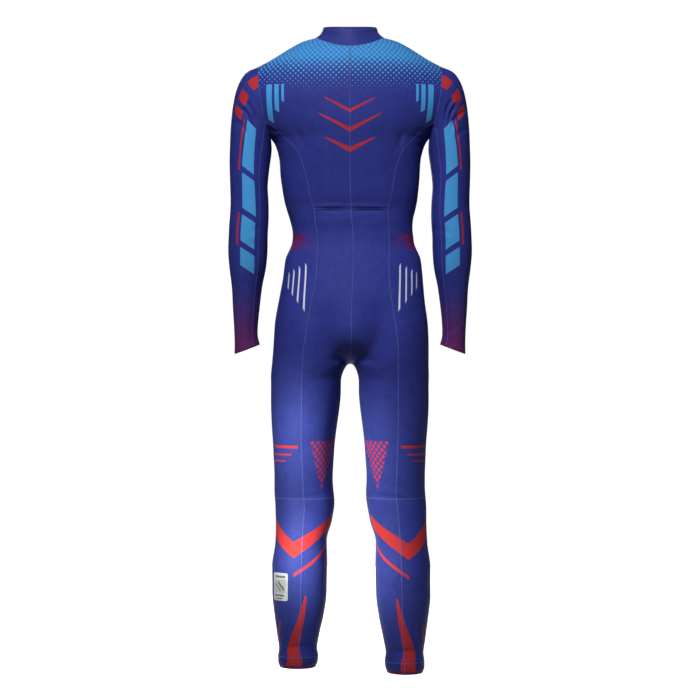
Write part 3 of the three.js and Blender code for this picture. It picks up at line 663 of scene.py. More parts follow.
def row_at(z):
    """The row of the body's cloth that is nearest to a height below the underarm."""
    return UNDERARM_ROW + 1 + int(np.argmin(np.abs(LOWER_HEIGHTS - z)))


LUMBAR_ROW, ZIP_END_ROW, CROTCH_ROW, KNEE_ROW, HEM_SEAM_ROW, HEM_ROW = (
    row_at(z) for z in (LUMBAR_SEAM_Z, ZIP_END_Z, CROTCH_Z, KNEE_SEAM_Z, HEM_SEAM_Z, HEM_Z)
)


def body_surface():
    """Patches of the collar, body and legs for each side, as a dict of dicts."""
    yoke = neck_rings(YOKE, spread(1, 0, YOKE_STEPS)[:-1])
    rings = stack(yoke, armhole_rings(ARMHOLE_ROWS), lower_rings(LOWER_HEIGHTS))
    collar = neck_rings(COLLAR, spread(1, 0, COLLAR_STEPS))
    edge = {face: panel_edge(rings, face) for face in ("front", "back")}

    # The first columns of the front are covered by the zip, and below it they close up
    def front_angles(rings, edge):
        zip_share = angle_at(rings, "front", ZIP_HALF_WIDTH) / edge
        below = np.clip((SEAT_Z - rings["z"]) / (SEAT_Z - CROTCH_Z), 0, 1)
        lower_share = zip_share + (LOWER_ZIP_SHARE - zip_share) * below
        start = np.where(rings["step"] >= 0, lower_share, zip_share)
        return np.hstack([spread(0, start * edge, ZIP_COLUMNS)[:, :-1], spread(start * edge, edge, FRONT_COLUMNS)])

    front = ring_points(rings, "front", front_angles(rings, edge["front"]))
    back = ring_points(rings, "back", spread(edge["back"], 0, BACK_COLUMNS))
    low = rows_of(rings, slice(UNDERARM_ROW, None))
    quarter = np.full_like(low["z"], math.pi / 2)
    ends = {"front": (edge["front"][UNDERARM_ROW:], quarter), "back": (quarter, edge["back"][UNDERARM_ROW:])}
    front_half, back_half = (ring_points(low, face, spread(*ends[face], SIDE_HALF_COLUMNS)) for face in ends)
    side = np.hstack([front_half, back_half[:, 1:]])
    horn_rows = slice(HORN_ROW, UNDERARM_ROW + 1)
    horn = rows_of(rings, horn_rows)
    horns = {}
    for face in ("front", "back"):
        seam, armhole = edge[face][horn_rows], angle_at(horn, face, horn["armhole_x"])
        ends = (seam, armhole) if face == "front" else (armhole, seam)
        horns[face] = ring_points(horn, face, spread(*ends, SIDE_HALF_COLUMNS))
    quarter = np.full_like(collar["z"], math.pi / 2)
    collar_front = ring_points(collar, "front", front_angles(collar, quarter))
    collar_back = ring_points(collar, "back", spread(quarter, 0, BACK_COLUMNS))

    # Distances round from the centre back and the centre front
    def backwards(points):
        return runs(points[:, ::-1])[:, ::-1]

    back_run, front_run = backwards(back), runs(front)
    side_from_back = backwards(side) + back_run[UNDERARM_ROW:, :1]
    side_from_front = runs(side) + front_run[UNDERARM_ROW:, -1:]
    front_from_back = np.full_like(front_run, FAR)
    front_from_back[UNDERARM_ROW:] = side_from_back[:, :1] + backwards(front)[UNDERARM_ROW:]
    back_from_front = np.full_like(back_run, FAR)
    back_from_front[UNDERARM_ROW:] = side_from_front[:, -1:] + runs(back)[UNDERARM_ROW:]
    front_horn_run = runs(horns["front"]) + front_run[horn_rows, -1:]
    back_horn_run = backwards(horns["back"]) + back_run[horn_rows, :1]
    grids = {
        "front": (front, front_from_back, front_run),
        "back": (back, back_run, back_from_front),
        "side": (side, side_from_back, side_from_front),
        "front_horn": (horns["front"], np.full_like(front_horn_run, FAR), front_horn_run),
        "back_horn": (horns["back"], back_horn_run, np.full_like(back_horn_run, FAR)),
        "collar_front": (collar_front, FAR + runs(collar_front), runs(collar_front)),
        "collar_back": (collar_back, backwards(collar_back), FAR + runs(collar_back)),
    }
    return {half: {name: patch(sign, *grid) for name, grid in grids.items()} for half, sign in SIDES.items()}


SLEEVE_STATIONS = 17
ROWS_PER_STATION = 10


def sleeve_surface():
    """Patches of the top and under panels of both sleeves."""
    stations = SLEEVE.read(np.arange(1, SLEEVE_STATIONS + 1))

    def grid(from_step, to_step):
        angle = np.linspace(from_step, to_step, (to_step - from_step) * STEPS_PER_ARMHOLE_STEP + 1) * ARMHOLE_STEP
        reach = (1 + np.cos(angle)) / 2
        knots = [armhole_point(angle)]
        for i in range(SLEEVE_STATIONS):
            s = {name: values[i] for name, values in stations.items()}
            depth = np.where(np.sin(angle) > 0, s["back"], s["front"])
            x = s["inner_x"] + (s["outer_x"] - s["inner_x"]) * reach
            z = s["inner_z"] + (s["outer_z"] - s["inner_z"]) * reach
            knots.append(np.stack([x, s["y"] + depth * np.sin(angle), z], axis=-1))
        knots = np.array(knots)
        slopes = np.gradient(knots, axis=0)
        rows = []
        for i in range(SLEEVE_STATIONS):
            for t in np.linspace(0, 1, ROWS_PER_STATION, endpoint=False):
                h = t * t * (3 - 2 * t)
                leave, arrive = slopes[i] * t * (1 - t) ** 2, slopes[i + 1] * t * t * (1 - t)
                rows.append(knots[i] * (1 - h) + knots[i + 1] * h + leave - arrive)
        return np.array([*rows, knots[-1]])

    def around(points, zero):
        run = runs(points)
        return run - run[:, zero : zero + 1]

    quarter = round(math.pi / 2 / ARMHOLE_STEP * STEPS_PER_ARMHOLE_STEP)
    middle = SIDE_PANEL_STEP * STEPS_PER_ARMHOLE_STEP
    top = grid(-SIDE_PANEL_STEP, SIDE_PANEL_STEP)
    under = grid(SIDE_PANEL_STEP, 2 * ARMHOLE_STEPS - SIDE_PANEL_STEP)
    top_back = -around(top, middle + quarter)
    top_front = around(top, middle - quarter)
    under_back = top_back[:, -1:] - runs(under)
    under_front = top_front[:, :1] - runs(under)[:, -1:] + runs(under)
    return {
        name: {
            "top": patch(sign, top, top_back, top_front, sway=False),
            "under": patch(sign, under, under_back, under_front, sway=False),
        }
        for name, sign in SIDES.items()
    }


SURFACES = {}


def surfaces():
    """The body and sleeve surfaces, worked out once and then shared by all the pieces."""
    if not SURFACES:
        SURFACES.update(body=body_surface(), sleeves=sleeve_surface())
        finish_surface([piece for part in SURFACES.values() for half in part.values() for piece in half.values()])
    return SURFACES


# Meshes

# The gap between two pieces at a seam, and the angle at which an edge is sharp
PARTING = 0.4
SHARP_ANGLE = math.radians(50)
CLOTH_VALUES = ("from_back", "from_front", "height")


def make_object(name, points, faces, materials, kinds=None, values=None):
    """A mesh object in metres. Kinds gives each face its material, and values go to its points."""
    mesh = bpy.data.meshes.new(name)
    mesh.from_pydata((np.asarray(points) * MM).tolist(), [], [list(map(int, face)) for face in faces])
    mesh.polygons.foreach_set("use_smooth", [True] * len(mesh.polygons))
    for material in materials:
        mesh.materials.append(material)
    if kinds is not None:
        mesh.polygons.foreach_set("material_index", [int(kind) for kind in kinds])
    for title, numbers in (values or {}).items():
        mesh.attributes.new(title, "FLOAT", "POINT").data.foreach_set("value", np.asarray(numbers, np.float32))
    mesh.validate()
    mesh.set_sharp_from_angle(angle=SHARP_ANGLE)
    mesh.update()
    made = bpy.data.objects.new(name, mesh)
    bpy.context.scene.collection.objects.link(made)
    return made


def border_of(faces, count):
    """Directed edges that belong to one face only."""
    starts, ends = [], []
    for face in faces:
        starts += face
        ends += face[1:] + face[:1]
    starts, ends = np.array(starts), np.array(ends)
    alone = ~np.isin(ends * count + starts, starts * count + ends)
    return starts[alone], ends[alone]


def add_cloth(name, patches, thickness, outside, inside, lift=0.0):
    """A thin closed shell of cloth from patches that share edges, with its edges drawn in for the seams."""
    points, first, _, quads = weld(patches)
    points = points[first]
    normals = np.concatenate([p["normals"].reshape(-1, 3) for p in patches])[first]
    values = {title: np.concatenate([p[title].ravel() for p in patches])[first] for title in CLOTH_VALUES}
    faces = []
    for quad in quads.tolist():
        face = [v for v, before in zip(quad, quad[-1:] + quad[:-1]) if v != before]
        if len(set(face)) == len(face) >= 3:
            faces.append(face)
    count = len(points)
    starts, ends = border_of(faces, count)
    run = unit(points[ends] - points[starts])
    inward = np.zeros_like(points)
    for corner in (starts, ends):
        np.add.at(inward, corner, np.cross(normals[corner], run))
    points = points + unit(inward) * PARTING / 2
    outer = points + normals * lift
    inner = outer - normals * thickness
    rim = [[e, s, s + count, e + count] for s, e in zip(starts.tolist(), ends.tolist())]
    backs = [[v + count for v in reversed(face)] for face in faces]
    kinds = [0] * len(faces) + [1] * len(backs) + [0] * len(rim)
    values = {title: np.tile(numbers, 2) for title, numbers in values.items()}
    return make_object(name, np.concatenate([outer, inner]), faces + backs + rim, [outside, inside], kinds, values)


def cut_size(patches):
    """Width, length and area of the flat cut, in metres: the widest and the longest patch, and all the areas."""
    area, width, length = 0.0, 0.0, 0.0
    for piece in patches:
        p = piece["points"]
        faces = np.cross(p[1:, 1:] - p[:-1, :-1], p[1:, :-1] - p[:-1, 1:])
        area += np.linalg.norm(faces, axis=-1).sum() / 2
        width = max(width, runs(p)[:, -1].max())
        length = max(length, runs(p.transpose(1, 0, 2))[:, -1].max())
    return width * MM, length * MM, area * MM * MM


# The distance at which two points of a line are one, and how a ribbon stands over the cloth and in it
SAME_POINT = 0.05
RIBBON_PROFILE = np.array([(-1, 0), (-0.85, 0.7), (-0.35, 1), (0.35, 1), (0.85, 0.7), (1, 0)])
RIBBON_SUNK = 0.5


def seam_line(patches, *lines, closed=False):
    """Points and directions along the edge of patches, as one line. Each line is (patch, rows, columns)."""
    points, normals = (
        np.concatenate([patches[name][title][rows, columns].reshape(-1, 3) for name, rows, columns in lines])
        for title in ("points", "normals")
    )
    keep = np.r_[True, np.linalg.norm(np.diff(points, axis=0), axis=1) > SAME_POINT]
    return points[keep], normals[keep], closed


def ribbon(points, normals, closed, width, height):
    """A low rounded strip that lies on the cloth along a line. Returns its points, faces, runs and places."""
    ahead = np.roll(points, -1, axis=0) - np.roll(points, 1, axis=0)
    if not closed:
        ahead[0], ahead[-1] = points[1] - points[0], points[-1] - points[-2]
    across = unit(np.cross(normals, ahead))
    low = points - normals * RIBBON_SUNK
    high = height + RIBBON_SUNK
    grid = np.stack([low + across * (x * width / 2) + normals * (h * high) for x, h in RIBBON_PROFILE], axis=1)
    rows, columns = grid.shape[:2]
    run = np.r_[0, np.cumsum(np.linalg.norm(np.diff(points, axis=0), axis=1))]
    index = np.arange(rows * columns).reshape(rows, columns)
    below = np.roll(index, -1, axis=0) if closed else index[1:]
    above = index if closed else index[:-1]
    faces = np.stack([above[:, :-1], above[:, 1:], below[:, 1:], below[:, :-1]], axis=-1).reshape(-1, 4)
    # The closing strip under the cloth makes the ribbon a closed body
    under = np.stack([above[:, -1], above[:, 0], below[:, 0], below[:, -1]], axis=-1)
    faces = np.concatenate([faces, under]).tolist()
    if not closed:
        faces += [index[0, ::-1].tolist(), index[-1].tolist()]
    return grid.reshape(-1, 3), faces, np.repeat(run, columns), np.tile(RIBBON_PROFILE[:, 0], rows)


def add_ribbons(name, lines, width, height, material):
    """Joins strips along several lines into one object."""
    points, faces, run, place = [], [], [], []
    for line in lines:
        p, f, r, s = ribbon(*line, width, height)
        start = sum(map(len, points))
        faces += [[v + start for v in face] for face in f]
        points.append(p)
        run.append(r)
        place.append(s)
    values = {"run": np.concatenate(run), "place": np.concatenate(place)}
    return make_object(name, np.concatenate(points), faces, [material], values=values)


# Materials


def shade(colour, share=1.0):
    """A colour for a node, made darker or lighter by a share."""
    return tuple(c * share for c in colour[:3]) + (1,)


# Outputs of nodes, by their place in the list
ATTRIBUTE_NUMBER, OBJECT_PLACE, DOT_RESULT, MIXED_COLOUR = 2, 3, 1, 2


class Painter:
    """Builds one material out of nodes."""

    def __init__(self, name, roughness, **shader):
        self.material = bpy.data.materials.new(name)
        self.material.use_nodes = True
        self.tree = self.material.node_tree
        self.shader = self.tree.nodes["Principled BSDF"]
        for title, value in {"roughness": roughness, **shader}.items():
            self.shader.inputs[title.replace("_", " ").title().replace("Ior", "IOR")].default_value = value

    def add(self, kind, *values, out=0, **settings):
        made = self.tree.nodes.new("ShaderNode" + kind)
        for title, value in settings.items():
            setattr(made, title, value)
        for socket, value in zip(made.inputs, values):
            if value is not None:
                self.feed(socket, value)
        return made.outputs[out]

    def feed(self, socket, value):
        if isinstance(value, bpy.types.NodeSocket):
            self.tree.links.new(value, socket)
        else:
            socket.default_value = value

    def math(self, operation, a, b=0.0):
        return self.add("Math", a, b, operation=operation)

    def times(self, a, b):
        return self.math("MULTIPLY", a, b)

    def value(self, title):
        return self.add("Attribute", attribute_name=title, out=ATTRIBUTE_NUMBER)

    def along(self, place, x, z, offset=0.0):
        """How far a place on the cloth lies along a direction."""
        return self.add("VectorMath", place, (x, z, offset), operation="DOT_PRODUCT", out=DOT_RESULT)

    def off_middle(self, value):
        """How far a value is from the middle of its whole step, at most a half."""
        return self.math("ABSOLUTE", self.math("SUBTRACT", self.math("FRACT", value), 0.5))

    def mix(self, share, a, b):
        return self.add("Mix", share, *[None] * 5, a, b, data_type="RGBA", out=MIXED_COLOUR)

    def ramp(self, value, low, high, start=0.0, end=1.0):
        return self.add("MapRange", value, low, high, start, end)

    def noise(self, scale, detail=2.0, roughness=0.5, stretch=None):
        place = self.add("TexCoord", out=OBJECT_PLACE)
        if stretch:
            place = self.add("Mapping", place, None, None, stretch)
        made = self.tree.nodes.new("ShaderNodeTexNoise")
        for title, value in (("Vector", place), ("Scale", scale), ("Detail", detail), ("Roughness", roughness)):
            self.feed(made.inputs[title], value)
        return made.outputs[0]

    def cloud(self, scale, detail=2.0, roughness=0.5, reach=0.2):
        """Noise drawn out, so that what lies within its reach of a half runs from 0 to 1."""
        return self.ramp(self.noise(scale, detail, roughness), 0.5 - reach, 0.5 + reach)

    def bump(self, height, strength, distance):
        made = self.tree.nodes.new("ShaderNodeBump")
        for title, value in (("Strength", strength), ("Distance", distance), ("Height", height)):
            self.feed(made.inputs[title], value)
        self.feed(self.shader.inputs["Normal"], made.outputs[0])

    def finish(self, colour):
        self.feed(self.shader.inputs["Base Color"], colour)
        return self.material


EDGE_SOFTNESS = 0.8
MESH_SOFTNESS, HATCH_SOFTNESS = 0.06, 0.08
HATCH_SLOPE = 0.6


def outline_mask(paint, place, corners):
    """One inside the straight-sided outline and nothing outside it. Corners run anticlockwise, in mm."""
    inside = None
    for (x0, z0), (x1, z1) in zip(corners, corners[1:] + corners[:1]):
        run = math.hypot(x1 - x0, z1 - z0)
        nx, nz = -(z1 - z0) / run, (x1 - x0) / run
        distance = paint.along(place, nx, nz, -nx * x0 - nz * z0)
        inside = distance if inside is None else paint.math("MINIMUM", inside, distance)
    return paint.ramp(inside, -EDGE_SOFTNESS / 2, EDGE_SOFTNESS / 2)


def filled(paint, size, distance, softness):
    """One where a pattern with this size covers the cloth. Size runs from 0 for none to 1 for a solid field."""
    return paint.ramp(paint.math("SUBTRACT", paint.times(size, 0.5), distance), -softness, softness)


def mesh_mask(paint, place, pitch, size):
    """A mesh of small diamonds."""
    folds = [paint.off_middle(paint.along(place, 1 / pitch, way / pitch)) for way in (1, -1)]
    return filled(paint, size, paint.math("MAXIMUM", *folds), MESH_SOFTNESS)


def hatch_mask(paint, place, pitch, size):
    """Fine slanting lines."""
    return filled(paint, size, paint.off_middle(paint.along(place, 1 / pitch, HATCH_SLOPE / pitch)), HATCH_SOFTNESS)


def bar(left, right, left_foot, right_foot, left_top, right_top):
    """Corners of a bar with upright sides: millimetres round from a centre line, and up."""
    return (left, left_foot), (right, right_foot), (right, right_top), (left, left_top)


# Fills: pattern, pitch in mm, what the size follows, and that range with the sizes at its ends
FILLS = {
    "yoke": (mesh_mask, 12.0, "height", (-122, -50, 0.12, 0.86)),
    "mesh": (mesh_mask, 15.0, "height", (0, 1, 0.62, 0.62)),
    "band": (mesh_mask, 15.0, "round", (84, 190, 0.3, 0.72)),
    "fade": (hatch_mask, 9.0, "height", (-560, -700, 0.0, 0.8)),
}
YOKE_AREA = bar(-5, 260, -126, -126, 40, 40)
WAIST_AREA = bar(84, 250, -476, -476, -438, -438)
WEDGE = (58, -1412), (98, -1412), (80, -1236), (76, -1236)
ANKLE_STRIPE = bar(124, 130, -1412, -1412, -1300, -1290)

# Prints: colour, the centre line that the shapes are measured from, fill, and the shapes
BODY_PRINT = (
    ("sky", "back", "yoke", YOKE_AREA),
    ("sky", "front", "yoke", YOKE_AREA),
    (
        *("sky", "back", "solid"),
        bar(174, 187, -198, -190, -114, -114),
        bar(158, 168, -176, -170, -114, -114),
        bar(146, 152, -154, -150, -114, -114),
    ),
    ("sky", "front", "solid", bar(172, 185, -190, -182, -114, -114), bar(156, 166, -172, -166, -114, -114)),
    (
        *("red", "back", "solid"),
        bar(-2, 54, -180, -148, -172, -145),
        bar(-2, 68, -222, -182, -212, -179),
        bar(-2, 54, -266, -234, -254, -231),
    ),
    ("maroon", "back", "band", WAIST_AREA),
    (
        *("white", "back", "solid"),
        bar(104, 108, -612, -605, -512, -505),
        bar(120, 124, -594, -587, -518, -511),
        bar(136, 140, -578, -571, -524, -517),
        bar(152, 156, -564, -557, -530, -523),
    ),
    ("red", "back", "mesh", ((60, -1002), (102, -896), (18, -896))),
    (
        *("red", "back", "solid"),
        bar(128, 200, -912, -912, -906, -906),
        bar(140, 200, -928, -928, -924, -924),
        bar(152, 200, -942, -942, -939, -939),
    ),
    ("maroon", "front", "band", WAIST_AREA),
)
CALF_PRINT = (
    (
        *("red", "back", "solid"),
        bar(20, 109, -1092, -1152, -1058, -1118),
        bar(109, 210, -1152, -1084, -1118, -1050),
        bar(20, 109, -1134, -1194, -1126, -1186),
        WEDGE,
        ANKLE_STRIPE,
    ),
)
HEM_PRINT = (
    ("red", "back", "solid", WEDGE, ANKLE_STRIPE),
    ("maroon", "back", "solid", bar(-5, 420, -1410, -1410, -1394, -1394)),
)
SLEEVE_PRINT = (
    (
        *("sky", "back", "solid"),
        bar(-17, 15, -310, -290, -210, -190),
        bar(-17, 15, -402, -382, -324, -304),
        bar(-17, 15, -474, -454, -416, -396),
        bar(-17, 15, -528, -508, -488, -468),
    ),
    (
        *("red", "back", "solid"),
        bar(21, 26, -300, -297, -190, -187),
        bar(21, 26, -464, -461, -394, -391),
        bar(30, 62, -126, -106, -104, -84),
        bar(32, 64, -160, -140, -138, -118),
        bar(34, 66, -190, -170, -172, -152),
    ),
    ("red", "front", "solid", bar(30, 58, -126, -108, -106, -88), bar(32, 60, -158, -140, -138, -120)),
    ("maroon", "back", "fade", bar(-200, 260, -760, -760, -560, -560)),
)

# Printed cloth: its noises, how much they and the gaps between stitches change the colour, and the knit
MOTTLE, GRAIN, FINE_GRAIN = (44, 4, 0.7), (230, 3, 0.7), (520, 2, 0.7, 0.25)
MOTTLE_DARK, MOTTLE_LIGHT = 0.84, 1.12
GRAIN_LIGHT, GRAIN_SHARE = 1.4, 0.4
GAP_COLOUR, GAP_SHARE = (0.0, 0.0, 0.01, 1), 0.2
KNIT_PITCH, KNIT_SHARE, KNIT_STRENGTH = 1.4, 0.6, 0.22
CLOTH_RELIEF = 0.0004


def printed_cloth(name, shapes, colours, base):
    """Satin stretch cloth in one colour with the printed shapes over it, a fine knit and a slight mottle."""
    paint = Painter(name, roughness=0.54, specular_ior_level=0.07)
    fine = paint.cloud(*FINE_GRAIN)
    colour = paint.mix(paint.cloud(*MOTTLE), shade(base, MOTTLE_DARK), shade(base, MOTTLE_LIGHT))
    colour = paint.mix(paint.times(paint.cloud(*GRAIN), GRAIN_SHARE), colour, shade(base, GRAIN_LIGHT))
    up = paint.value("height")
    # The place on the cloth, round from each centre line and up. The 1 lets a dot product add an offset.
    place = {face: paint.add("CombineXYZ", paint.value("from_" + face), up, 1.0) for face in ("back", "front")}
    for tone, face, fill, *outlines in shapes:
        for corners in outlines:
            mask = outline_mask(paint, place[face], corners)
            if fill in FILLS:
                pattern, pitch, guide, fade = FILLS[fill]
                size = paint.ramp(up if guide == "height" else paint.value("from_" + face), *fade)
                mask = paint.times(mask, pattern(paint, place[face], pitch, size))
            colour = paint.mix(mask, colour, shade(colours[tone]))
    colour = paint.mix(paint.times(fine, GAP_SHARE), colour, GAP_COLOUR)
    around, rows = (paint.math("SINE", paint.times(v, math.tau / KNIT_PITCH)) for v in (paint.value("from_back"), up))
    knit = paint.times(paint.times(around, rows), KNIT_SHARE)
    paint.bump(paint.math("ADD", knit, fine), KNIT_STRENGTH, CLOTH_RELIEF)
    return paint.finish(colour)


MOTTLE_CHANGE = 0.1


def plain_cloth(name, colour, roughness):
    """Cloth in one colour with a slight mottle, for the inside and the bands."""
    paint = Painter(name, roughness, specular_ior_level=0.12, sheen_weight=0.06)
    mottle = paint.cloud(scale=34, detail=3, roughness=0.6)
    paint.bump(paint.noise(scale=900, roughness=0.7), strength=0.25, distance=CLOTH_RELIEF)
    low, high = shade(colour, 1 - MOTTLE_CHANGE), shade(colour, 1 + MOTTLE_CHANGE)
    return paint.finish(paint.mix(mottle, low, high))


STITCH_SLANT = 0.9
STITCH_LOW, STITCH_HIGH = -0.6, 0.5


def seam_thread(name, colour, gap_colour, pitch=2.6):
    """A sewn seam: slanting stitches of thread, side by side along the seam."""
    paint = Painter(name, roughness=0.6, specular_ior_level=0.3)
    slant = paint.math("ADD", paint.value("run"), paint.times(paint.value("place"), STITCH_SLANT))
    stitch = paint.ramp(paint.math("SINE", paint.times(slant, math.tau / pitch)), STITCH_LOW, STITCH_HIGH)
    paint.bump(stitch, strength=0.6, distance=0.0005)
    return paint.finish(paint.mix(stitch, gap_colour, colour))


WORN_SHARE, BRIGHT_SHARE = 0.82, 1.06


def metal(name, colour, roughness):
    """Cast metal, a little worn and brushed along."""
    paint = Painter(name, roughness, metallic=1.0)
    wear = paint.cloud(scale=160, detail=3, roughness=0.6, reach=0.15)
    brushed = paint.noise(scale=700, roughness=0.6, stretch=(1, 1, 0.2))
    paint.bump(brushed, strength=0.15, distance=0.0002)
    return paint.finish(paint.mix(wear, shade(colour, WORN_SHARE), shade(colour, BRIGHT_SHARE)))


# The label, in millimetres from its middle: a grey field, level and slanted bars, and their colours
LABEL_FIELD = (-17, -14), (17, -14), (17, 17), (-17, 17)
LABEL_MARKS = (
    ((-14, 20), (14, 20), (14, 25), (-14, 25)),
    ((-14, -21.5), (14, -21.5), (14, -17), (-14, -17)),
    ((-10, -28), (10, -28), (10, -24.5), (-10, -24.5)),
    ((-13, -10), (6, 8), (6, 15), (-13, -3)),
    ((-4, -11), (13, 4), (13, 8), (-4, -7)),
)
FILM_DARK, FILM_LIGHT = (0.36, 0.37, 0.46, 1), (0.46, 0.47, 0.57, 1)
FIELD_COLOUR, FIELD_SHARE = (0.25, 0.25, 0.29, 1), 0.75
MARK_COLOUR, MARK_SHARE = (0.05, 0.05, 0.06, 1), 0.9


def label_material(name):
    """A silver-grey film with a pale frame, a grey field and plain bars, without words."""
    paint = Painter(name, roughness=0.36, specular_ior_level=0.5)
    place = paint.add("CombineXYZ", paint.value("label_across"), paint.value("label_up"), 1.0)
    colour = paint.mix(paint.cloud(scale=60), FILM_DARK, FILM_LIGHT)
    colour = paint.mix(paint.times(outline_mask(paint, place, LABEL_FIELD), FIELD_SHARE), colour, FIELD_COLOUR)
    for corners in LABEL_MARKS:
        colour = paint.mix(paint.times(outline_mask(paint, place, corners), MARK_SHARE), colour, MARK_COLOUR)
    paint.bump(paint.noise(scale=500, roughness=0.6), strength=0.1, distance=0.0002)
    return paint.finish(colour)


# Bands, gaps and threads as shares of the royal blue, and what lifts the seam thread above it
BAND_SHARE, GAP_SHADE, STITCH_SHADE = 0.9, 0.6, 1.25
THREAD_GAIN, THREAD_LIFT = 1.5, 0.05
MATERIALS = {}


def material(name):
    """The suit's materials, made once from the colours in the panel."""
    if not MATERIALS:
        chosen = bpy.context.scene.ski_suit_colours
        colours = {tone: tuple(getattr(chosen, tone)) for tone in ("royal", "sky", "red", "maroon", "white")}
        royal = colours["royal"]
        band, dark = shade(royal, BAND_SHARE), shade(royal, GAP_SHADE)
        light = tuple(THREAD_GAIN * v + THREAD_LIFT for v in royal) + (1,)
        MATERIALS.update(
            suit_cloth=printed_cloth("printed_suit_cloth", BODY_PRINT, colours, royal),
            sleeve_cloth=printed_cloth("printed_sleeve_cloth", SLEEVE_PRINT, colours, royal),
            calf_cloth=printed_cloth("printed_calf_cloth", CALF_PRINT, colours, royal),
            hem_band=printed_cloth("hem_band_cloth", HEM_PRINT, colours, band),
            collar_cloth=plain_cloth("collar_cloth", band, roughness=0.55),
            backing=plain_cloth("brushed_backing", tuple(chosen.backing), roughness=0.85),
            seam=seam_thread("flat_seam_thread", light, dark),
            stitch=seam_thread("hem_stitch_thread", shade(royal, STITCH_SHADE), dark, pitch=3.2),
            zip_tape=plain_cloth("zip_tape", (0.012, 0.014, 0.06), roughness=0.75),
            zip_metal=metal("zip_metal", (0.36, 0.37, 0.39), roughness=0.42),
            zip_teeth=plain_cloth("zip_teeth", (0.02, 0.022, 0.08), roughness=0.35),
            label_film=label_material("label_film"),
        )
    return MATERIALS[name]


# Pieces

ALL = slice(None)
COLLAR_STITCH_ROW, HEM_STITCH_ROW, CUFF_STITCH_ROW = 3, HEM_ROW - 1, -5
STITCH_WIDTH_SHARE = 0.6
HEM_LIFT = 0.3


def in_mm(title):
    """A size from the panel, in millimetres."""
    return getattr(bpy.context.scene.ski_suit_sizes, title) * 1000


def dress(made, slot, *nodes):
    """Every piece made here rides on the suit. Its slot is not used. Some take the place of solids."""
    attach(made, "suit")
    if nodes:
        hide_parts(*nodes)


def add_panel(name, patches, slot, node, size="cloth_thickness", look=None, inside="backing", lift=0.0, wide=1):
    """A piece of cloth in the place of one solid. Wide is how many patches lie side by side in its flat cut."""
    made = add_cloth(name, patches, in_mm(size) + lift, material(look or slot), material(inside), lift)
    dress(made, slot, node)
    width, length, area = cut_size(patches)
    width *= wide


def add_seams(name, lines, slot, thread="seam", share=1.0):
    """Stitching along several lines, as wide as this share of the flat seams."""
    made = add_ribbons(name, lines, in_mm("seam_width") * share, in_mm("seam_height"), material(thread))
    dress(made, slot)


def part(half, panel, above, below, columns=ALL):
    """The cloth of a panel from one row down to another. Side panels begin at the underarm."""
    top = UNDERARM_ROW if panel == "side" else 0
    return cut(half[panel], slice(above - top, below - top + 1), columns)


def leg_ring(half, row):
    """The line right round a leg along one row."""
    side_row = row - UNDERARM_ROW
    ring = ("front", row, ALL), ("side", side_row, slice(1, None)), ("back", row, slice(1, -1))
    return seam_line(half, *ring, closed=True)


def sleeve_ring(half, row):
    return seam_line(half, ("top", row, ALL), ("under", row, slice(1, -1)), closed=True)


class SKI_SUIT_OT_body(Operator):
    """Fronts, sides, upper backs and lower backs, from the neck to the knee seams"""

    bl_idname = "ski_suit.body"
    bl_label = "Body panels"

    def execute(self, context):
        for name, half in surfaces()["body"].items():
            panels = {
                "front": [
                    part(half, "front", 0, ZIP_END_ROW, slice(ZIP_COLUMNS, None)),
                    part(half, "front", ZIP_END_ROW, KNEE_ROW),
                ],
                "side": [part(half, "side", UNDERARM_ROW, KNEE_ROW), half["front_horn"], half["back_horn"]],
                "back_upper": [part(half, "back", 0, LUMBAR_ROW)],
                "back_lower": [part(half, "back", LUMBAR_ROW, KNEE_ROW)],
            }
            for panel, patches in panels.items():
                add_panel(f"{panel}_panel_{name}", patches, "suit_cloth", f"{panel}_{name}")
        return {"FINISHED"}


class SKI_SUIT_OT_calves(Operator):
    """Calf panels and the hem bands at the ankles"""

    bl_idname = "ski_suit.calves"
    bl_label = "Calves and hems"

    def execute(self, context):
        calf, hem = (KNEE_ROW, HEM_SEAM_ROW), (HEM_SEAM_ROW, HEM_ROW)
        for name, half in surfaces()["body"].items():
            for piece, slot, panels, rows, lift in (
                ("calf_outer", "calf_cloth", ["side"], calf, 0.0),
                ("calf_inner", "calf_cloth", ["back", "front"], calf, 0.0),
                ("leg_hem", "hem_band", ["back", "front", "side"], hem, HEM_LIFT),
            ):
                patches = [part(half, panel, *rows) for panel in panels]
                wide = len(patches)
                add_panel(f"{piece}_panel_{name}", patches, slot, f"{piece}_{name}", lift=lift, wide=wide)
        return {"FINISHED"}


class SKI_SUIT_OT_sleeves(Operator):
    """Top and under panels of both sleeves"""

    bl_idname = "ski_suit.sleeves"
    bl_label = "Sleeves"

    def execute(self, context):
        for name, half in surfaces()["sleeves"].items():
            for side, piece in half.items():
                add_panel(f"sleeve_{side}_panel_{name}", [piece], "sleeve_cloth", f"sleeve_{side}_{name}")
        return {"FINISHED"}


class SKI_SUIT_OT_collar(Operator):
    """The stand collar, folded double"""

    bl_idname = "ski_suit.collar"
    bl_label = "Collar"

    def execute(self, context):
        patches = []
        for half in surfaces()["body"].values():
            patches += [cut(half["collar_front"], columns=slice(ZIP_COLUMNS, None)), half["collar_back"]]
        wide = len(patches)
        add_panel("stand_collar", patches, "suit_cloth", "collar", "collar_thickness", "collar_cloth", wide=wide)
        return {"FINISHED"}


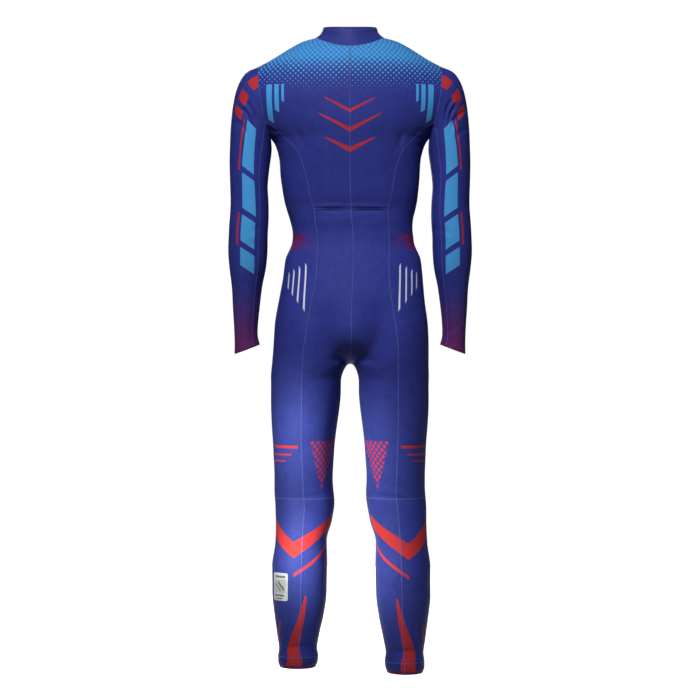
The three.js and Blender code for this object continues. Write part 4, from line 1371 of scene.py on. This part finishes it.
class SKI_SUIT_OT_seams(Operator):
    """Flat seams along every join, and the stitch lines of cuffs, hems and collar"""

    bl_idname = "ski_suit.seams"
    bl_label = "Seams"

    def execute(self, context):
        body = surfaces()["body"]
        centre = [
            seam_line(body["left"], ("back", slice(0, CROTCH_ROW + 1), -1)),
            seam_line(body["left"], ("front", slice(ZIP_END_ROW, CROTCH_ROW + 1), 0)),
        ]
        add_seams("centre_seams", centre, "suit_cloth")
        below_arm, inseam = slice(HORN_ROW, HEM_ROW + 1), slice(CROTCH_ROW, HEM_ROW + 1)
        for name, half in body.items():
            neck = ("front", 0, slice(ZIP_COLUMNS, None)), ("back", 0, slice(1, None))
            collar = (
                ("collar_front", COLLAR_STITCH_ROW, slice(ZIP_COLUMNS + 1, None)),
                ("collar_back", COLLAR_STITCH_ROW, slice(1, None)),
            )
            lines = [
                seam_line(half, ("back", below_arm, 0)),
                seam_line(half, ("front", below_arm, -1)),
                seam_line(half, ("back", slice(0, YOKE_STEPS + 1), 0)),
                seam_line(half, ("back", LUMBAR_ROW, ALL)),
                seam_line(half, ("back", inseam, -1)),
                leg_ring(half, KNEE_ROW),
                leg_ring(half, HEM_SEAM_ROW),
                seam_line(half, *neck),
                seam_line(half, *collar),
            ]
            add_seams(f"body_seams_{name}", lines, "suit_cloth")
            hem = [leg_ring(half, HEM_STITCH_ROW)]
            add_seams(f"hem_stitches_{name}", hem, "hem_band", "stitch", STITCH_WIDTH_SHARE)
        for name, half in surfaces()["sleeves"].items():
            lines = [sleeve_ring(half, 0), seam_line(half, ("top", ALL, 0)), seam_line(half, ("top", ALL, -1))]
            add_seams(f"sleeve_seams_{name}", lines, "sleeve_cloth")
            cuff = [sleeve_ring(half, CUFF_STITCH_ROW)]
            add_seams(f"cuff_stitches_{name}", cuff, "sleeve_cloth", "stitch", STITCH_WIDTH_SHARE)
        return {"FINISHED"}


class SKI_SUIT_OT_zip(Operator):
    """The front zip: tapes, teeth, slider and pull tab"""

    bl_idname = "ski_suit.zip"
    bl_label = "Front zip"

    def execute(self, context):
        patches = []
        tape = slice(0, ZIP_COLUMNS + 1)
        for half in surfaces()["body"].values():
            patches += [cut(half["collar_front"], columns=tape), part(half, "front", 0, ZIP_END_ROW, tape)]
        add_panel("zip_tapes", patches, "zip_tape", "zip_tape", "tape_thickness", inside="zip_tape", wide=2)
        line = ("collar_front", ALL, 0), ("front", slice(1, ZIP_END_ROW + 1), 0)
        points, normals, _ = seam_line(surfaces()["body"]["left"], *line)
        dress(zip_teeth(points, normals), "zip_tape")
        for node in ("zip_slider", "zip_pull_tab"):
            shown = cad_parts[node]
            shown.data.materials.clear()
            shown.data.materials.append(material("zip_metal"))
        return {"FINISHED"}


TOOTH_PITCH, TOOTH_OFFSET, TOOTH_SUNK = 2.4, 0.9, 0.3
TOOTH_SIZE, TOOTH_TIP_SHARE = (4.6, 1.1, 0.9), 0.7
TOOTH_FACES = ((0, 1, 3, 2), (4, 6, 7, 5), (0, 4, 5, 1), (2, 3, 7, 6), (1, 5, 7, 3), (0, 2, 6, 4))


def zip_teeth(points, normals):
    """Two interlocked rows of small moulded teeth down the middle of the zip."""
    run = np.r_[0, np.cumsum(np.linalg.norm(np.diff(points, axis=0), axis=1))]
    stops = np.arange(TOOTH_PITCH, run[-1] - TOOTH_PITCH, TOOTH_PITCH / 2)
    place, out = (
        np.stack([np.interp(stops, run, values[:, axis]) for axis in range(3)], axis=-1) for values in (points, normals)
    )
    wide, tall, high = TOOTH_SIZE
    x, y, z = np.array([(x, y, z) for x in (-1, 1) for y in (-1, 1) for z in (0, 1)], float).T
    shrink = np.where(z > 0, TOOTH_TIP_SHARE, 1.0)
    vertices, faces = [], []
    for i, (centre, normal) in enumerate(zip(place, out)):
        way = 1 if i % 2 else -1
        block = (
            centre
            + np.outer(x * shrink * wide / 2 + way * TOOTH_OFFSET, (1, 0, 0))
            + np.outer(y * shrink * tall / 2, unit(np.cross(normal, (1, 0, 0))))
            + np.outer(z * (high + TOOTH_SUNK) - TOOTH_SUNK, normal)
        )
        faces += [[8 * i + v for v in face] for face in TOOTH_FACES]
        vertices.append(block)
    return make_object("zip_tooth_rows", np.concatenate(vertices), faces, [material("zip_teeth")])


LABEL_THICKNESS, LABEL_LIFT = 1.0, 0.35
LABEL_COLUMNS = (1.08, 2.84)
LABEL_CORNER = 4.0
LABEL_ROWS, LABEL_ACROSS = 40, 24


def label_patch(side):
    """A rounded rectangle of the side panel. Its columns count from the side, four to the back seam."""
    top, bottom = (row_at(z) - UNDERARM_ROW for z in (LABEL_TOP_Z, LABEL_BOTTOM_Z))
    row = spread(top, bottom, LABEL_ROWS)
    first, last = (SIDE_HALF_COLUMNS * (1 + c / 4) for c in LABEL_COLUMNS)
    left, right = (side["points"][int(round((top + bottom) / 2)), int(round(c))] for c in (first, last))
    per_mm = (last - first) / np.linalg.norm(right - left)
    end = np.minimum(row - top, bottom - row) / (bottom - top) * (LABEL_TOP_Z - LABEL_BOTTOM_Z)
    near = np.clip(LABEL_CORNER - end, 0, LABEL_CORNER)
    inset = (LABEL_CORNER - np.sqrt(LABEL_CORNER**2 - near**2)) * per_mm
    share = spread(0, 1, LABEL_ACROSS)
    columns = (first + inset)[:, None] * (1 - share) + (last - inset)[:, None] * share
    rows = np.broadcast_to(row[:, None], columns.shape)
    r, c = np.floor(rows).astype(int), np.floor(columns).astype(int)
    r = np.minimum(r, len(side["height"]) - 2)
    v, u = rows - r, columns - c

    def between(grid):
        w, x = (v, u) if grid.ndim == 2 else (v[..., None], u[..., None])
        above = grid[r, c] * (1 - x) + grid[r, c + 1] * x
        below = grid[r + 1, c] * (1 - x) + grid[r + 1, c + 1] * x
        return above * (1 - w) + below * w

    return {title: grid if title == "flip" else between(grid) for title, grid in side.items()}


class SKI_SUIT_OT_label(Operator):
    """The plain film label bonded to the left calf"""

    bl_idname = "ski_suit.label"
    bl_label = "Calf label"

    def execute(self, context):
        film = label_patch(surfaces()["body"]["left"]["side"])
        look, lift = material("label_film"), LABEL_THICKNESS + LABEL_LIFT
        made = add_cloth("calf_label_film", [film], LABEL_THICKNESS, look, look, lift)
        for source, title in (("from_back", "label_across"), ("height", "label_up")):
            numbers = np.array([v.value for v in made.data.attributes[source].data])
            centred = numbers - (numbers.max() + numbers.min()) / 2
            made.data.attributes.new(title, "FLOAT", "POINT").data.foreach_set("value", centred.astype(np.float32))
        dress(made, "label_film", "calf_label")
        return {"FINISHED"}


MIDDLE_HEIGHT = (CAD_BOX[0][2] + CAD_BOX[1][2]) / 2
AIR_COLOUR, PAPER_COLOUR = (0.93, 0.95, 1, 1), (0.86, 0.86, 0.87, 1)
BLACK, WHITE = (0, 0, 0, 1), (1, 1, 1, 1)
SURROUND_GLOW, PAPER_GLOW = 1.02, 1.0
CLIP_END = 50
PLAIN_LIGHT, GREENISH_LIGHT = (1, 1, 1), (0.92, 1, 0.68)
# Softboxes: colour, place, the height they point at, size, spread in degrees, and their share of the key power
LIGHTS = (
    ("key_softbox", PLAIN_LIGHT, (0.6, 2.9, 1.9), -0.67, 0.9, 50, 0.09),
    ("knee_softbox", GREENISH_LIGHT, (0.7, 0.95, -0.68), -0.93, 0.15, 17, 0.0028),
    ("calf_softbox", GREENISH_LIGHT, (0.6, 0.95, -0.92), -1.175, 0.15, 14, 0.0035),
    ("front_softbox", PLAIN_LIGHT, (0.6, -3.8, 0.5), MIDDLE_HEIGHT, 1.4, 180, 0.42),
    ("top_softbox", PLAIN_LIGHT, (0, 0.3, 2.6), MIDDLE_HEIGHT, 1.4, 180, 0.06),
)


def stage_piece(name, paint, colour):
    """Names the mesh that was just added and gives it its own material."""
    made = bpy.context.object
    made.name = name
    made.data.materials.append(paint.finish(colour))
    return made


class SKI_SUIT_OT_stage(Operator):
    """Pale floor, white surround, studio lights and the camera"""

    bl_idname = "ski_suit.stage"
    bl_label = "Stage"

    def execute(self, context):
        scene = context.scene
        studio = scene.ski_suit_studio
        scene.view_settings.view_transform = "Standard"
        world = bpy.data.worlds.new("studio_air")
        world.use_nodes = True
        background = world.node_tree.nodes["Background"]
        background.inputs["Color"].default_value = AIR_COLOUR
        background.inputs["Strength"].default_value = studio.ambient
        scene.world = world
        self.add_ground(studio)
        for name, colour, place, target, size, spread_degrees, share in LIGHTS:
            light = bpy.data.lights.new(name, "AREA")
            light.color = colour
            light.size = size
            light.energy = studio.key_power * share
            light.spread = math.radians(spread_degrees)
            lamp = bpy.data.objects.new(name, light)
            scene.collection.objects.link(lamp)
            lamp.location = place
            lamp.visible_camera = False
            lamp.rotation_euler = (Vector((0, 0, target)) - lamp.location).to_track_quat("-Z", "Y").to_euler()
        camera = bpy.data.cameras.new("camera")
        camera.lens = studio.lens
        camera.clip_end = CLIP_END
        eye = bpy.data.objects.new("camera", camera)
        scene.collection.objects.link(eye)
        eye.location = (0, studio.camera_distance, studio.camera_height)
        eye.rotation_euler = (math.radians(90), 0, math.radians(180))
        scene.camera = eye
        return {"FINISHED"}

    def add_ground(self, studio):
        """A white dome far outside the lights, which the camera sees and which lights nothing, and a floor."""
        bpy.ops.mesh.primitive_uv_sphere_add(radius=studio.surround_radius, location=(0, 0, MIDDLE_HEIGHT))
        glow = {"emission_color": WHITE, "emission_strength": SURROUND_GLOW}
        paint = Painter("surround_white", roughness=0.5, specular_ior_level=0, **glow)
        dome = stage_piece("white_surround", paint, BLACK)
        dome.visible_diffuse = dome.visible_glossy = dome.visible_shadow = dome.visible_transmission = False
        place = (0, 0, studio.floor_height)
        bpy.ops.mesh.primitive_circle_add(vertices=96, radius=studio.floor_radius, fill_type="NGON", location=place)
        paint = Painter("floor_paper", roughness=0.9, emission_color=WHITE, emission_strength=PAPER_GLOW)
        stage_piece("pale_floor", paint, PAPER_COLOUR).visible_diffuse = False


def length(name, description, default, **limits):
    return FloatProperty(name=name, description=description, default=default, unit="LENGTH", **limits)


def colour(name, description, default):
    return FloatVectorProperty(name=name, description=description, default=default, subtype="COLOR")


class SkiSuitSizes(PropertyGroup):
    """Sizes of the cloth and its seams"""

    cloth_thickness: length("Cloth", "Thickness of the stretch cloth", 0.0012, min=0.0005)
    collar_thickness: length("Collar", "Thickness of the folded collar", 0.0022, min=0.001)
    tape_thickness: length("Zip tape", "Thickness of the zip's tapes", 0.0011, min=0.0005)
    seam_width: length("Seam width", "Width of the flat seams", 0.002, min=0.001)
    seam_height: length("Seam height", "How far a seam stands off the cloth", 0.0004, min=0.0001)


class SkiSuitColours(PropertyGroup):
    """Colours of the cloth and its print"""

    royal: colour("Royal blue", "Ground colour of the cloth", (0.029, 0.039, 0.255))
    sky: colour("Sky blue", "Yoke and sleeve stripes", (0.07, 0.36, 0.78))
    red: colour("Red", "Red stripes and bars", (0.5, 0.032, 0.038))
    maroon: colour("Maroon", "Mesh at the waist and cuffs", (0.2, 0.015, 0.08))
    white: colour("White", "Bars on the hips", (0.7, 0.72, 0.85))
    backing: colour("Backing", "Brushed inside of the cloth", (0.06, 0.065, 0.13))


class SkiSuitStudio(PropertyGroup):
    """Camera, lights and surround"""

    camera_distance: length("Camera distance", "From the suit's middle", 4.5)
    camera_height: length("Camera height", "Level of the camera", -0.696)
    lens: FloatProperty(name="Lens", description="Focal length in millimetres", default=103.8)
    key_power: FloatProperty(name="Key light", description="Power of the key light", default=126, unit="POWER")
    ambient: FloatProperty(name="Air light", description="Strength of the light all round", default=0.06)
    floor_height: length("Floor", "Level of the floor", -1.5)
    floor_radius: length("Floor radius", "Size of the floor", 3.0)
    surround_radius: length("Surround radius", "Size of the white surround", 9.0)


class SKI_SUIT_PT_panel(Panel):
    """Sizes, colours and the pieces of the suit"""

    bl_idname = "SKI_SUIT_PT_panel"
    bl_label = "Ski race suit"
    bl_space_type = "VIEW_3D"
    bl_region_type = "UI"
    bl_category = "Ski suit"

    def draw(self, context):
        for name in GROUPS:
            group = getattr(context.scene, name)
            box = self.layout.box()
            for title in group.bl_rna.properties.keys():
                if title not in ("rna_type", "name"):
                    box.prop(group, title)
        for operator in OPERATORS:
            self.layout.operator(operator.bl_idname)


OPERATORS = (
    SKI_SUIT_OT_body,
    SKI_SUIT_OT_calves,
    SKI_SUIT_OT_sleeves,
    SKI_SUIT_OT_collar,
    SKI_SUIT_OT_seams,
    SKI_SUIT_OT_zip,
    SKI_SUIT_OT_label,
    SKI_SUIT_OT_stage,
)
GROUPS = {"ski_suit_sizes": SkiSuitSizes, "ski_suit_colours": SkiSuitColours, "ski_suit_studio": SkiSuitStudio}


def register():
    for name, group in GROUPS.items():
        bpy.utils.register_class(group)
        setattr(bpy.types.Scene, name, PointerProperty(type=group))
    for item in (*OPERATORS, SKI_SUIT_PT_panel):
        bpy.utils.register_class(item)


def unregister():
    for item in reversed((*OPERATORS, SKI_SUIT_PT_panel)):
        bpy.utils.unregister_class(item)
    for name, group in GROUPS.items():
        delattr(bpy.types.Scene, name)
        bpy.utils.unregister_class(group)


def main():
    register()
    bpy.ops.ski_suit.body()
    bpy.ops.ski_suit.calves()
    bpy.ops.ski_suit.sleeves()
    bpy.ops.ski_suit.collar()
    bpy.ops.ski_suit.seams()
    bpy.ops.ski_suit.zip()
    bpy.ops.ski_suit.label()
    bpy.ops.ski_suit.stage()


if __name__ == "__main__":
    main()
